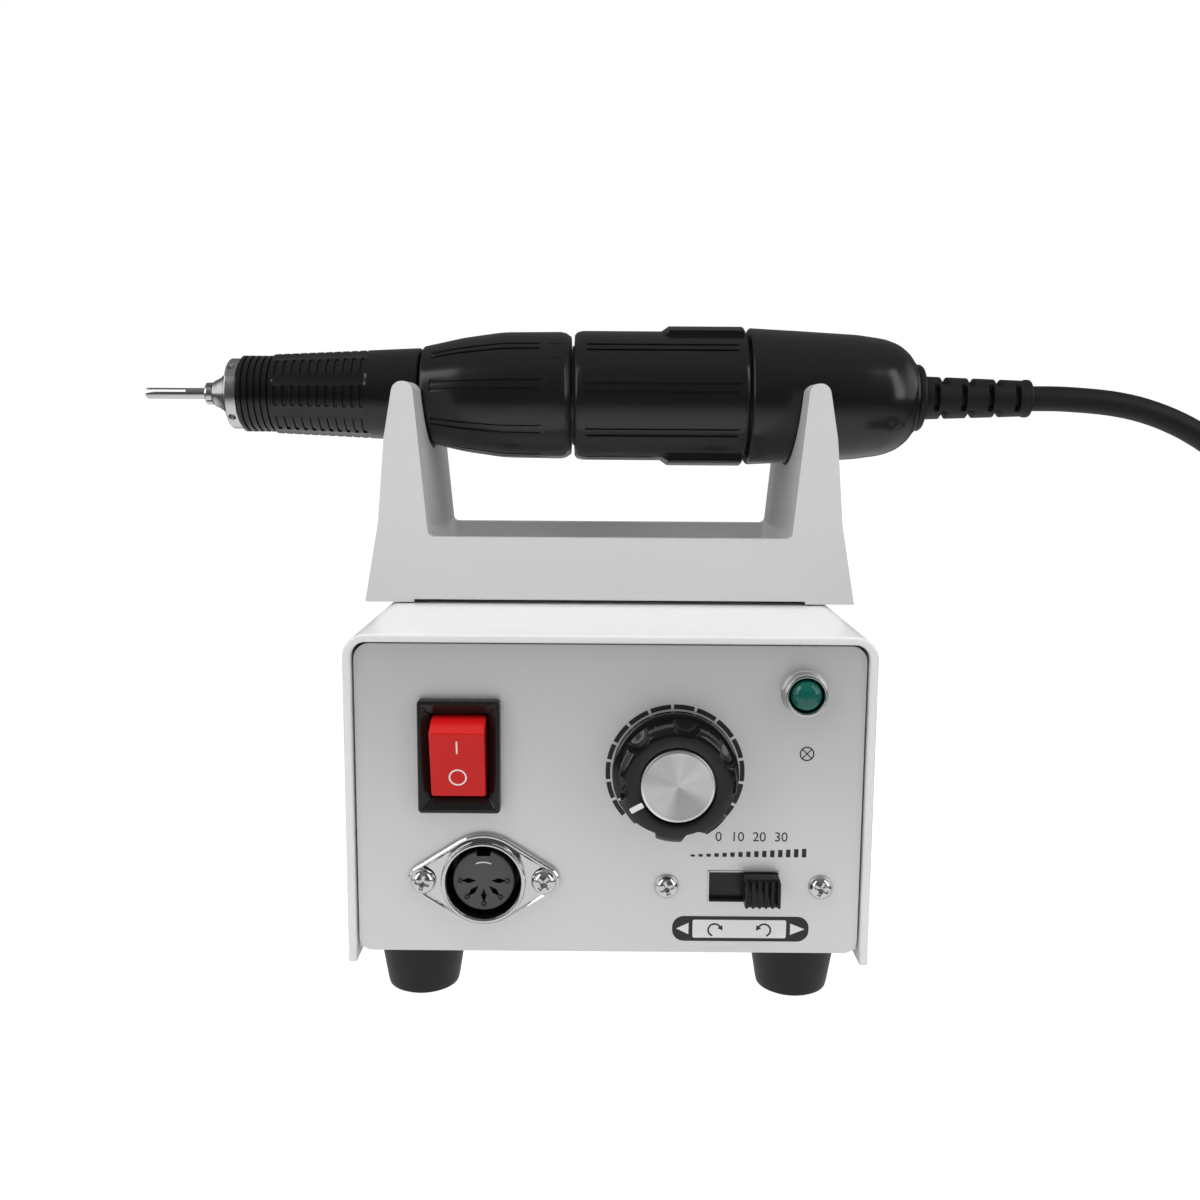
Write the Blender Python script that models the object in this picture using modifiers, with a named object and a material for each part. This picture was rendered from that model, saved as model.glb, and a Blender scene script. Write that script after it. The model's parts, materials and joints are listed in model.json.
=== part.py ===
"""Dental polishing machine: a control box, its cradle, and a handpiece with its lead.

Metres, +Z up, the front faces -Y. The origin is under the middle of the machine without its lead,
on the surface that the feet stand on.
"""

import math

import bmesh
import bpy
import numpy as np
from mathutils import Matrix, Vector

MM = 0.001

# Fits and cuts
gap = 0.3 * MM
overrun = 2.0 * MM
merge_distance = 1e-6
fine_steps = 32
round_steps = 24
small_steps = 16
tiny_steps = 10
arc_reach_share = 0.49

# Sheet-metal case: a folded cover over a U-shaped chassis
cover_width = 96.5 * MM
cover_height = 60.0 * MM
cover_depth = 122.0 * MM
cover_wall = 1.5 * MM
cover_corner = 4.3 * MM
cover_drop = 1.8 * MM
cover_fit = 0.4 * MM
sheet = 1.5 * MM
panel_recess = 1.2 * MM
panel_corner = 2.4 * MM
floor_lift = 0.2 * MM
flange_height = 11.0 * MM
# Heights on the two panels are given for a panel this tall, and follow its real height.
panel_design_height = 58.1 * MM

# Rubber feet, pushed into the floor
foot_height = 11.0 * MM
foot_top_radius = 8.5 * MM
foot_bottom_radius = 6.9 * MM
foot_edge = 1.2 * MM
foot_stem_radius = 2.4 * MM
foot_barb = 0.8 * MM
foot_side_inset = 12.35 * MM
foot_inset = 12.0 * MM

# Screws: pan heads on plain shanks
case_screw_head = 3.0 * MM
case_screw_shank = 1.5 * MM
case_screw_length = 6.0 * MM
case_screw_height = 6.5 * MM
case_screw_inset = 22.0 * MM
head_rise_share = 0.62
head_shares = ((0.55, 0.9), (0.9, 0.5))
panel_screw_head = 2.3 * MM
panel_screw_shank = 1.25 * MM
panel_screw_length = 6.0 * MM

# Rocker switch
rocker_left_inset = 19.05 * MM
rocker_top_inset = 20.5 * MM
bezel_width = 15.0 * MM
bezel_height = 21.0 * MM
bezel_rise = 2.0 * MM
bezel_corner = 0.6 * MM
switch_depth = 15.0 * MM
switch_inset = 1.0 * MM
switch_back = 1.6 * MM
rocker_width = 9.9 * MM
rocker_radius = 7.5 * MM
rocker_flat = 4.2 * MM
rocker_pivot_depth = 2.4 * MM
rocker_tilt = math.radians(12.0)

# Pilot lamp
lamp_right_inset = 11.25 * MM
lamp_top_inset = 8.4 * MM
lamp_flange_radius = 4.25 * MM
lamp_flange_rise = 1.2 * MM
lamp_edge_share = 0.7
lamp_ring_radius = 3.9 * MM
lamp_ring_rise = 3.6 * MM
lamp_bore = 3.1 * MM
lamp_barrel_radius = 3.6 * MM
lamp_barrel_length = 9.0 * MM
lens_crown = 1.9 * MM

# Speed control: potentiometer and knob
knob_right_inset = 34.35 * MM
knob_top_inset = 23.4 * MM
pot_radius = 8.3 * MM
pot_depth = 9.0 * MM
bushing_radius = 3.5 * MM
bushing_length = 5.0 * MM
shaft_radius = 3.0 * MM
shaft_show = 8.2 * MM
pot_nut_radius = 5.6 * MM
pot_nut_height = 1.6 * MM
knob_lift = 0.7 * MM
knob_skirt_radius = 11.5 * MM
knob_skirt_height = 2.0 * MM
knob_radius = 10.5 * MM
knob_height = 8.6 * MM
knob_flutes = 7
knob_flute_depth = 1.5 * MM
knob_flute_share = 0.42
knob_skirt_edge = 0.5 * MM
knob_recess_radius = 7.0 * MM
knob_recess_depth = 3.0 * MM
cap_radius = 6.6 * MM
cap_seat = 0.8 * MM
cap_rise = 0.4 * MM

# Handpiece socket
socket_left_inset = 23.35 * MM
socket_rise = 14.0 * MM
socket_pitch = 22.3 * MM
flange_ear_radius = 2.9 * MM
flange_body_radius = 8.9 * MM
flange_thick = 1.0 * MM
collar_radius = 7.8 * MM
collar_wall = 0.9 * MM
collar_rise = 2.4 * MM
socket_depth = 12.0 * MM
insert_radius = 5.7 * MM
insert_base = 5.0 * MM
insert_sink = 1.4 * MM
contact_circle = 3.5 * MM
contact_radius = 0.8 * MM
contact_depth = 6.0 * MM
contact_count = 5
key_width = 2.6 * MM
key_depth = 0.9 * MM

# Direction slide switch
slide_right_inset = 21.35 * MM
slide_rise = 12.8 * MM
slide_pitch = 28.5 * MM
window_width = 13.4 * MM
window_height = 6.3 * MM
slide_body_width = 20.0 * MM
slide_body_height = 9.6 * MM
slide_body_depth = 9.0 * MM
slide_plate = 0.8 * MM
slide_well = 3.0 * MM
slider_width = 6.6 * MM
slider_reach = 4.4 * MM
slider_rib_count = 5
slider_rib_depth = 0.5 * MM

# Inside the case
core_width = 42.0 * MM
core_height = 36.0 * MM
core_depth = 20.0 * MM
core_leg = 7.0 * MM
core_middle = 12.0 * MM
core_side_clear = 3.85 * MM
core_rear_clear = 22.8 * MM
coil_overhang = 5.0 * MM
board_depth = 56.0 * MM
board_thick = 1.6 * MM
board_side_clear = 3.85 * MM
board_core_clear = 4.0 * MM
bracket_height = 8.0 * MM
bracket_width = 14.0 * MM
bracket_length = 46.0 * MM
bracket_wall = 1.2 * MM
sink_base = 3.0 * MM
sink_height = 22.0 * MM
sink_length = 34.0 * MM
sink_width = 18.0 * MM
sink_fins = 5
sink_fin_thick = 1.4 * MM
sink_rear_clear = 9.8 * MM

# Rear panel fittings
inlet_left_inset = 26.35 * MM
inlet_rise = 26.0 * MM
inlet_width = 28.0 * MM
inlet_height = 20.0 * MM
inlet_flange_thick = 2.0 * MM
inlet_flange_rim = 2.6 * MM
inlet_depth = 19.0 * MM
inlet_wall = 1.7 * MM
inlet_corner = 3.4 * MM
inlet_pin_width = 2.0 * MM
inlet_pin_height = 4.0 * MM
inlet_pin_pitch = 7.0 * MM
inlet_pin_step = 2.0 * MM
inlet_pin_sink = 5.0 * MM
fuse_right_inset = 22.35 * MM
fuse_rise = 26.0 * MM
fuse_body_radius = 6.0 * MM
fuse_body_length = 26.0 * MM
fuse_flange_radius = 7.6 * MM
fuse_flange_thick = 1.6 * MM
fuse_cap_radius = 5.6 * MM
fuse_reach = 9.0 * MM

# Cradle: one moulding, screwed to the cover
cradle_width = 102.4 * MM
cradle_depth = 46.0 * MM
horn_height = 45.6 * MM
wall_height = 13.6 * MM
wall_thick = 2.6 * MM
tray_floor = 2.4 * MM
tray_width = 75.6 * MM
horn_tip_width = 3.9 * MM
horn_tip_round = 1.7 * MM
horn_round_share = 0.3
horn_outer_shares = ((1.0, 0.0), (0.941, 0.37), (0.912, 0.75), (0.873, 1.0))
cradle_relief = 0.6 * MM
relief_share = 0.8
saddle_axis_height = 43.3 * MM
saddle_clear = 0.45 * MM
saddle_lead_in = 1.5 * MM
cradle_screw_spacing = 50.0 * MM
cradle_screw_head = 3.6 * MM
cradle_screw_shank = 2.0 * MM
cradle_screw_length = 8.0 * MM
hand_lift_show = -7.9 * MM

# Handpiece, from the nose to the lead. Lengths run along its axis.
mandrel_radius = 1.175 * MM
mandrel_show = 13.4 * MM
mandrel_hold = 16.0 * MM
mandrel_slot = 0.5 * MM
mandrel_slot_length = 9.0 * MM
collet_radius = 2.4 * MM
collet_show = 1.9 * MM
collet_stem_radius = 1.9 * MM
collet_stem_length = 17.0 * MM
cone_length = 4.0 * MM
cone_front_radius = 2.8 * MM
cone_back_radius = 5.9 * MM
cone_steps = (0.35, 0.7, 1.0)
cone_flare = 1.6
band_length = 2.9 * MM
band_radius = 7.7 * MM
nose_spigot_radius = 5.6 * MM
nose_spigot_length = 5.0 * MM
grip_length = 39.5 * MM
grip_front_radius = 8.35 * MM
grip_mid_radius = 8.7 * MM
grip_back_radius = 10.2 * MM
ridge_count = 5
ridge_pitch = 1.42 * MM
ridge_depth = 0.55 * MM
ridge_crest_share = 0.6
grip_bore = 3.7 * MM
socket_bore_length = 14.0 * MM
grip_gap = 0.5 * MM
collar_length = 32.5 * MM
collar_front_radius = 10.6 * MM
collar_swell_radius = 13.75 * MM
collar_back_radius = 13.9 * MM
collar_swell_share = 0.54
collar_chamfer = 1.1 * MM
joint_gap = 0.8 * MM
sleeve_length = 37.7 * MM
sleeve_radius = 14.15 * MM
sleeve_wall = 1.65 * MM
sleeve_edge = 0.9 * MM
pad_rise = 1.1 * MM
pad_start = 19.0 * MM
pad_width = 12.0 * MM
pad_slope = 1.6 * MM
cap_gap = 0.4 * MM
cap_length = 36.9 * MM
cap_front_radius = 14.95 * MM
cap_shares = ((0.65, 0.913), (0.82, 0.853), (0.9, 0.776), (0.962, 0.652), (1.0, 0.512))
cap_wall = 2.2 * MM
gland_radius = 7.3 * MM
gland_length = 1.5 * MM
gland_stem_radius = 4.6 * MM
gland_stem_length = 3.2 * MM
relief_length = 23.8 * MM
relief_front_radius = 4.75 * MM
relief_back_radius = 3.9 * MM
relief_stem_radius = 2.7 * MM
relief_stem_length = 8.0 * MM
relief_grooves = 3
relief_groove_start = 4.2 * MM
relief_groove_pitch = 6.0 * MM
relief_groove_width = 1.3 * MM
relief_groove_depth = 1.2 * MM
# Inside the handpiece
housing_spigot_radius = 6.8 * MM
housing_front_radius = 9.3 * MM
housing_neck_radius = 10.9 * MM
housing_radius = 12.2 * MM
housing_wall = 1.1 * MM
housing_cap_reach = 12.0 * MM
housing_front_wall = 1.5 * MM
bearing_width = 5.0 * MM
bearing_radius = 7.0 * MM
front_bearing_start = -13.0 * MM
spindle_radius = 3.0 * MM
spindle_nose_reach = 75.5 * MM
armature_radius = 8.2 * MM
armature_start = 4.0 * MM
armature_length = 27.0 * MM
commutator_radius = 4.7 * MM
commutator_length = 6.0 * MM
magnet_inner_radius = 8.6 * MM
magnet_margin = 0.4 * MM
bell_length = 5.0 * MM
bell_bearing_radius = 5.5 * MM
brush_width = 3.6 * MM
brush_length = 4.4 * MM

# Lead, with the coil that it is put away in, and its plug
cord_radius = 2.75 * MM
cord_layer = 6.05 * MM
cord_turn_step = 6.05 * MM
coil_mean_radius = 30.0 * MM
coil_turns = 6.625
coil_loop_points = 24
coil_start_angle = math.radians(135.0)
cord_lift = 0.1 * MM
cord_point_step = 6.0 * MM
cord_tail = 31.0 * MM
# From the strain relief's end, the route of the hanging stretch, as (x, y, z), down to the coil
cord_route = (
    (0.0, 0.0, 0.0),
    (0.006, 0.0, 0.0),
    (0.018, 0.0, -0.0009),
    (0.028, 0.0, -0.0032),
    (0.038, -0.0003, -0.0078),
    (0.0475, -0.0012, -0.0150),
    (0.0555, -0.0026, -0.0250),
    (0.0605, -0.0045, -0.0370),
    (0.0625, -0.0068, -0.0500),
    (0.0628, -0.0096, -0.0625),
    (0.0614, -0.0128, -0.0745),
    (0.0585, -0.0168, -0.0860),
    (0.0541, -0.0216, -0.0960),
    (0.0480, -0.0278, -0.1040),
    (0.0405, -0.0353, -0.1095),
)
coil_centre_from_exit = (0.0600, -0.0760)
cord_landing_run = 0.011
plug_radius = 8.6 * MM
plug_length = 30.0 * MM
plug_neck_radius = 4.6 * MM
plug_neck_length = 9.0 * MM
plug_neck_share = 0.8
plug_waist_share = 0.3
plug_waist_radius = 7.6 * MM
shell_radius = 6.6 * MM
shell_wall = 0.7 * MM
shell_length = 9.0 * MM
shell_hold = 4.0 * MM
pin_radius = 0.7 * MM
pin_length = 7.0 * MM
pin_base = 2.0 * MM

# Places that follow from the sizes
nose_reach = (joint_gap + collar_length + grip_gap + grip_length + band_length + cone_length
              + collet_show + mandrel_show)
cap_start = sleeve_length + cap_gap
cap_end = cap_start + cap_length
gland_start = cap_end + gap
relief_start = gland_start + gland_length + gap
tail_reach = relief_start + relief_length
joint_x = (nose_reach - tail_reach) / 2
console_x = joint_x - hand_lift_show
knob_reach = knob_lift + knob_height + cap_rise
front_reach = knob_reach - panel_recess
rear_reach = fuse_reach - panel_recess
console_front = (front_reach - rear_reach - cover_depth) / 2
panel_y = console_front + panel_recess
panel_back = panel_y + sheet
rear_y = console_front + cover_depth - panel_recess
floor_z = foot_height
cover_top = floor_z + cover_height
panel_width = cover_width - 2 * (cover_wall + cover_fit)
panel_height = cover_height - cover_wall - cover_fit
height_share = panel_height / panel_design_height
left_edge, right_edge = -panel_width / 2, panel_width / 2
rocker_x, rocker_z = left_edge + rocker_left_inset, panel_height - rocker_top_inset * height_share
lamp_x, lamp_z = right_edge - lamp_right_inset, panel_height - lamp_top_inset * height_share
knob_x, knob_z = right_edge - knob_right_inset, panel_height - knob_top_inset * height_share
socket_x, slide_x = left_edge + socket_left_inset, right_edge - slide_right_inset
socket_z, slide_z = socket_rise * height_share, slide_rise * height_share
inlet_x, fuse_x = left_edge + inlet_left_inset, right_edge - fuse_right_inset
inlet_z, fuse_z = inlet_rise * height_share, fuse_rise * height_share
core_x = left_edge + sheet + core_side_clear + core_width / 2
core_y = rear_y - inlet_depth - core_rear_clear - core_depth / 2 - coil_overhang
board_left = core_x + core_width / 2 + board_core_clear
board_right = right_edge - sheet - board_side_clear
board_x, board_width = (board_left + board_right) / 2, board_right - board_left
board_y = rear_y - fuse_body_length - sink_rear_clear - sink_length / 2
cradle_y = console_front + cover_depth / 2
cradle_base = cover_top + gap
hand_z = cradle_base + saddle_axis_height
grip_end = -(joint_gap + collar_length + grip_gap)
grip_start = grip_end - grip_length
band_start = grip_start - band_length
cone_start = band_start - cone_length
collet_start = cone_start - collet_show
collar_start = -(joint_gap + collar_length)

scene = bpy.context.scene
for old in list(bpy.data.objects):
    bpy.data.objects.remove(old, do_unlink=True)
machine = bpy.data.collections.new("dental_polishing_machine")
scene.collection.children.link(machine)
cutters = bpy.data.collections.new("cutters")
scene.collection.children.link(cutters)


def material(name, colour, roughness, metallic=0.0):
    made = bpy.data.materials.new(name)
    made.use_nodes = True
    shader = made.node_tree.nodes["Principled BSDF"]
    shader.inputs["Base Color"].default_value = (*colour, 1.0)
    shader.inputs["Roughness"].default_value = roughness
    shader.inputs["Metallic"].default_value = metallic
    made.diffuse_color = (*colour, 1.0)
    return made


cover_paint = material("cover_paint", (0.82, 0.82, 0.82), 0.35)
panel_paint = material("panel_paint", (0.72, 0.72, 0.72), 0.45)
cradle_plastic = material("cradle_plastic", (0.8, 0.8, 0.81), 0.3)
black_rubber = material("black_rubber", (0.02, 0.02, 0.02), 0.7)
black_plastic = material("black_plastic", (0.015, 0.015, 0.015), 0.4)
grip_finish = material("grip_finish", (0.012, 0.012, 0.014), 0.28, 0.3)
motor_plastic = material("motor_plastic", (0.012, 0.012, 0.013), 0.25)
red_plastic = material("red_plastic", (0.75, 0.02, 0.02), 0.3)
green_lens = material("green_lens", (0.01, 0.16, 0.12), 0.1)
chrome = material("chrome", (0.75, 0.75, 0.75), 0.12, 1.0)
steel = material("steel", (0.6, 0.6, 0.6), 0.3, 1.0)
spun_aluminium = material("spun_aluminium", (0.8, 0.8, 0.8), 0.25, 1.0)
copper = material("copper", (0.7, 0.35, 0.2), 0.35, 1.0)
core_iron = material("core_iron", (0.25, 0.25, 0.27), 0.5, 0.8)
board_green = material("board_green", (0.02, 0.2, 0.08), 0.5)
magnet_black = material("magnet_black", (0.05, 0.05, 0.05), 0.6)
carbon = material("carbon", (0.06, 0.06, 0.06), 0.7)
brass = material("brass", (0.75, 0.58, 0.25), 0.3, 1.0)


def link(obj, finish):
    """Puts a piece in the machine's collection, and a cutter or helper, which has no finish, in the other."""
    if finish is None:
        cutters.objects.link(obj)
        obj.hide_render = True
        obj.display_type = "WIRE"
    else:
        machine.objects.link(obj)
        obj.data.materials.clear()
        obj.data.materials.append(finish)
    return obj


def facing(direction):
    """The rotation that turns local Z to a world direction, with local Y up on an upright face."""
    return {
        "+X": (math.pi / 2, 0, math.pi / 2),
        "-X": (math.pi / 2, 0, -math.pi / 2),
        "-Y": (math.pi / 2, 0, 0),
        "+Y": (math.pi / 2, 0, math.pi),
        "+Z": (0, 0, 0),
        "-Z": (math.pi, 0, 0),
    }[direction]


def box(name, low, high, finish=None, edge=0.0):
    """A box between two world corners, with its edges rounded where edge is given."""
    low, high = np.array(low, float), np.array(high, float)
    shape = bmesh.new()
    bmesh.ops.create_cube(shape, size=1.0)
    for vertex in shape.verts:
        vertex.co = [side * length for side, length in zip(vertex.co, high - low)]
    mesh = bpy.data.meshes.new(name)
    shape.to_mesh(mesh)
    shape.free()
    obj = bpy.data.objects.new(name, mesh)
    obj.location = (low + high) / 2
    if edge > 0:
        rounding = obj.modifiers.new("edges", "BEVEL")
        rounding.width = edge
        rounding.segments = 2
    return link(obj, finish)


def turned(name, profile, place, direction, finish=None, steps=round_steps):
    """A piece turned about its axis. The profile is (radius, distance), closed by itself or by the axis."""
    area = sum(a[0] * b[1] - b[0] * a[1] for a, b in zip(profile, profile[1:] + profile[:1]))
    if area > 0:
        profile = profile[::-1]
    on_axis = profile[0][0] == 0 and profile[-1][0] == 0
    edges = [(i, i + 1) for i in range(len(profile) - 1)]
    if not on_axis:
        starts = [i for i, point in enumerate(profile) if point[0] == 0]
        if starts:
            turn = next(i for i in starts if profile[i - 1][0] == 0)
            profile = profile[turn:] + profile[:turn]
        else:
            edges.append((len(profile) - 1, 0))
    mesh = bpy.data.meshes.new(name)
    mesh.from_pydata([(radius, 0, along) for radius, along in profile], edges, [])
    obj = bpy.data.objects.new(name, mesh)
    obj.location = place
    obj.rotation_euler = facing(direction)
    screw = obj.modifiers.new("turn", "SCREW")
    screw.steps = steps
    screw.render_steps = steps
    screw.use_merge_vertices = True
    screw.merge_threshold = merge_distance
    return link(obj, finish)


def ring(name, outer, inner, start, end, place, direction, finish=None, steps=round_steps):
    return turned(name, [(outer, end), (outer, start), (inner, start), (inner, end)],
                  place, direction, finish, steps)


def disc(name, radius, start, end, place, direction, finish=None, steps=round_steps):
    return turned(name, [(0, end), (radius, end), (radius, start), (0, start)],
                  place, direction, finish, steps)


def circle(x, y, radius, steps=small_steps):
    turns = [2 * math.pi * i / steps for i in range(steps)]
    return [(x + radius * math.cos(a), y + radius * math.sin(a)) for a in turns]


def rectangle(x, y, width, height):
    return [(x - width / 2, y - height / 2), (x + width / 2, y - height / 2),
            (x + width / 2, y + height / 2), (x - width / 2, y + height / 2)]


def rounded(corners, radii, steps=5):
    """The outline through these corners, each with an arc of its own radius."""
    points = []
    for i, corner in enumerate(corners):
        here = np.array(corner, float)
        before = np.array(corners[i - 1], float) - here
        after = np.array(corners[(i + 1) % len(corners)], float) - here
        radius = radii[i] if isinstance(radii, (list, tuple)) else radii
        if radius <= 0:
            points.append(tuple(here))
            continue
        reach_before, reach_after = np.linalg.norm(before), np.linalg.norm(after)
        before, after = before / reach_before, after / reach_after
        half = math.acos(np.clip(before @ after, -1, 1)) / 2
        run = min(radius / math.tan(half), arc_reach_share * reach_before, arc_reach_share * reach_after)
        radius = run * math.tan(half)
        middle = before + after
        centre = here + middle / np.linalg.norm(middle) * radius / math.sin(half)
        first, last = here + before * run - centre, here + after * run - centre
        sweep = math.atan2(first[0] * last[1] - first[1] * last[0], first @ last)
        for k in range(steps + 1):
            c, s = math.cos(sweep * k / steps), math.sin(sweep * k / steps)
            points.append((centre[0] + c * first[0] - s * first[1], centre[1] + s * first[0] + c * first[1]))
    return points


def plate(name, outlines, thickness, place, direction, finish=None):
    """A flat outline with its holes, from a filled curve. It grows from its place along the direction."""
    curve = bpy.data.curves.new(name + "_outline", "CURVE")
    curve.dimensions = "2D"
    curve.fill_mode = "BOTH"
    curve.extrude = thickness / 2
    for outline in outlines:
        spline = curve.splines.new("POLY")
        spline.points.add(len(outline) - 1)
        spline.points.foreach_set("co", [c for x, y in outline for c in (x, y, 0, 1)])
        spline.use_cyclic_u = True
    drawn = bpy.data.objects.new(name + "_outline", curve)
    scene.collection.objects.link(drawn)
    graph = bpy.context.evaluated_depsgraph_get()
    mesh = bpy.data.meshes.new_from_object(drawn.evaluated_get(graph))
    bpy.data.objects.remove(drawn, do_unlink=True)
    shape = bmesh.new()
    shape.from_mesh(mesh)
    bmesh.ops.remove_doubles(shape, verts=shape.verts, dist=merge_distance)
    for vertex in shape.verts:
        vertex.co.z += thickness / 2
    bmesh.ops.recalc_face_normals(shape, faces=shape.faces)
    shape.to_mesh(mesh)
    shape.free()
    obj = bpy.data.objects.new(name, mesh)
    obj.location = place
    obj.rotation_euler = facing(direction)
    return link(obj, finish)


def combine(target, tool, operation):
    change = target.modifiers.new(operation.lower() + "_" + tool.name, "BOOLEAN")
    change.operation = operation
    change.object = tool
    return target


def cut(target, *tools):
    for tool in tools:
        combine(target, tool, "DIFFERENCE")
    return target


def join(target, *tools):
    for tool in tools:
        combine(target, tool, "UNION")
    return target


def home(name, place, *pieces):
    """The empty that a moving group hangs on, at a point of its joint's axis."""
    empty = bpy.data.objects.new(name, None)
    empty.empty_display_size = cord_radius
    empty.location = place
    machine.objects.link(empty)
    for piece in pieces:
        piece.parent = empty
        piece.location = [a - b for a, b in zip(piece.location, place)]
    return empty


def on_panel(x, z, out=0.0):
    """A point of the front panel's face, from the case's middle and its underside."""
    return (console_x + x, panel_y - out, floor_z + z)


def on_rear(x, z, out=0.0):
    return (console_x + x, rear_y + out, floor_z + z)


def screw(name, head, shank, length, place, direction, finish=steel):
    """A pan-head screw. Its place is the surface that the head sits on, and it points outwards."""
    rise = head * head_rise_share
    profile = [(0, rise), *((head * out, rise * up) for out, up in head_shares), (head, gap),
               (shank, gap), (shank, -length), (0, -length)]
    return turned(name, profile, place, direction, finish, small_steps)


def build_cover():
    half, inner = cover_width / 2, cover_width / 2 - cover_wall
    inner_top = cover_height - cover_wall
    outline = rounded(
        [(-half, -cover_drop), (-half, cover_height), (half, cover_height), (half, -cover_drop),
         (inner, -cover_drop), (inner, inner_top), (-inner, inner_top), (-inner, -cover_drop)],
        [0, cover_corner, cover_corner, 0, 0, cover_corner - cover_wall, cover_corner - cover_wall, 0])
    place = (console_x, console_front + cover_depth, floor_z)
    cover = plate("case_cover", [outline], cover_depth, place, "-Y", cover_paint)
    cut(cover, *case_screw_holes(), *cradle_screw_holes("cover"))


def case_screw_holes():
    """One long cutter for each pair of screws, across both sides of the case."""
    reach = cover_width / 2 + overrun
    return [disc(f"case_screw_hole_{i}", case_screw_shank + gap, -reach, reach,
                 (console_x, y, floor_z + case_screw_height), "+X", steps=small_steps)
            for i, y in enumerate(case_screw_places())]


def case_screw_places():
    return (console_front + case_screw_inset, console_front + cover_depth - case_screw_inset)


def cradle_screw_places():
    return (console_x - cradle_screw_spacing / 2, console_x + cradle_screw_spacing / 2)


def cradle_screw_holes(what):
    return [disc(f"{what}_cradle_screw_hole_{i}", cradle_screw_shank + gap, -cradle_screw_length, overrun,
                 (x, cradle_y, cradle_base + tray_floor), "+Z", steps=small_steps)
            for i, x in enumerate(cradle_screw_places())]


def foot_places():
    return {f"foot_{row}_{side}": (console_x + sign * (cover_width / 2 - foot_side_inset), y)
            for row, y in (("front", console_front + foot_inset),
                           ("rear", console_front + cover_depth - foot_inset))
            for side, sign in (("left", -1), ("right", 1))}


def build_chassis():
    top_round = cover_corner - cover_wall
    middle = panel_height / 2
    shape = rounded(rectangle(0, middle, panel_width, panel_height),
                    [panel_corner, panel_corner, top_round, top_round])
    body_width, body_height = bezel_width - 2 * switch_inset, bezel_height - 2 * switch_inset
    front_holes = [
        rectangle(rocker_x, rocker_z, body_width + 2 * gap, body_height + 2 * gap),
        circle(socket_x, socket_z, collar_radius + gap, round_steps),
        circle(lamp_x, lamp_z, lamp_barrel_radius + gap),
        circle(knob_x, knob_z, bushing_radius + gap),
        rectangle(slide_x, slide_z, window_width, window_height),
    ]
    for x, z, pitch in ((socket_x, socket_z, socket_pitch), (slide_x, slide_z, slide_pitch)):
        front_holes += [circle(x + side * pitch / 2, z, panel_screw_shank + gap) for side in (-1, 1)]
    chassis = plate("chassis", [shape, *front_holes], sheet, (console_x, panel_back, floor_z), "-Y",
                    panel_paint)

    # Seen from behind, left and right change places.
    rear_holes = [
        rectangle(-inlet_x, inlet_z, inlet_width + 2 * gap, inlet_height + 2 * gap),
        circle(-fuse_x, fuse_z, fuse_body_radius + gap),
    ]
    rear = plate("rear_panel", [shape, *rear_holes], sheet, (console_x, rear_y - sheet, floor_z), "+Y")

    length = rear_y - panel_y - sheet
    width = panel_width - 2 * panel_corner
    middle_y = (rear_y + panel_y) / 2
    floor_shape = rectangle(0, 0, width, length)
    foot_holes = [circle(x - console_x, y - middle_y, foot_stem_radius + gap)
                  for x, y in foot_places().values()]
    floor = plate("floor", [floor_shape, *foot_holes], sheet, (console_x, middle_y, floor_z + floor_lift),
                  "+Z")

    sides = []
    for side, sign in (("left", -1), ("right", 1)):
        inner = console_x + sign * (width / 2 - sheet)
        outer = console_x + sign * panel_width / 2
        sides.append(box(f"side_fold_{side}", (min(inner, outer), panel_y + sheet / 2,
                                               floor_z + 2 * floor_lift),
                         (max(inner, outer), rear_y - sheet / 2, floor_z + sheet)))
        upright = console_x + sign * (panel_width / 2 - sheet)
        sides.append(box(f"side_flange_{side}", (min(upright, outer), panel_y + sheet / 2,
                                                 floor_z + sheet / 2),
                         (max(upright, outer), rear_y - sheet / 2, floor_z + flange_height)))
    join(chassis, floor, rear, *sides)
    cut(chassis, *[disc(f"flange_screw_hole_{i}", case_screw_shank + gap, -cover_width, cover_width,
                        (console_x, y, floor_z + case_screw_height), "+X", steps=small_steps)
                   for i, y in enumerate(case_screw_places())])


def build_feet():
    tall = foot_height - gap
    stem = sheet + floor_lift + 2 * gap
    profile = [(0, foot_height + stem + foot_barb * 2), (foot_stem_radius, foot_height + stem + foot_barb),
               (foot_stem_radius, tall), (foot_top_radius, tall),
               (foot_bottom_radius, foot_edge), (foot_bottom_radius - foot_edge / 2, foot_edge / 3),
               (foot_bottom_radius - foot_edge, 0), (0, 0)]
    for name, (x, y) in foot_places().items():
        turned(name, profile, (x, y, 0), "+Z", black_rubber)


def build_case_screws():
    number = 0
    for side, direction in ((-1, "-X"), (1, "+X")):
        for y in case_screw_places():
            number += 1
            place = (console_x + side * cover_width / 2, y, floor_z + case_screw_height)
            screw(f"cover_screw_{number}", case_screw_head, case_screw_shank, case_screw_length, place,
                  direction)


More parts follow.
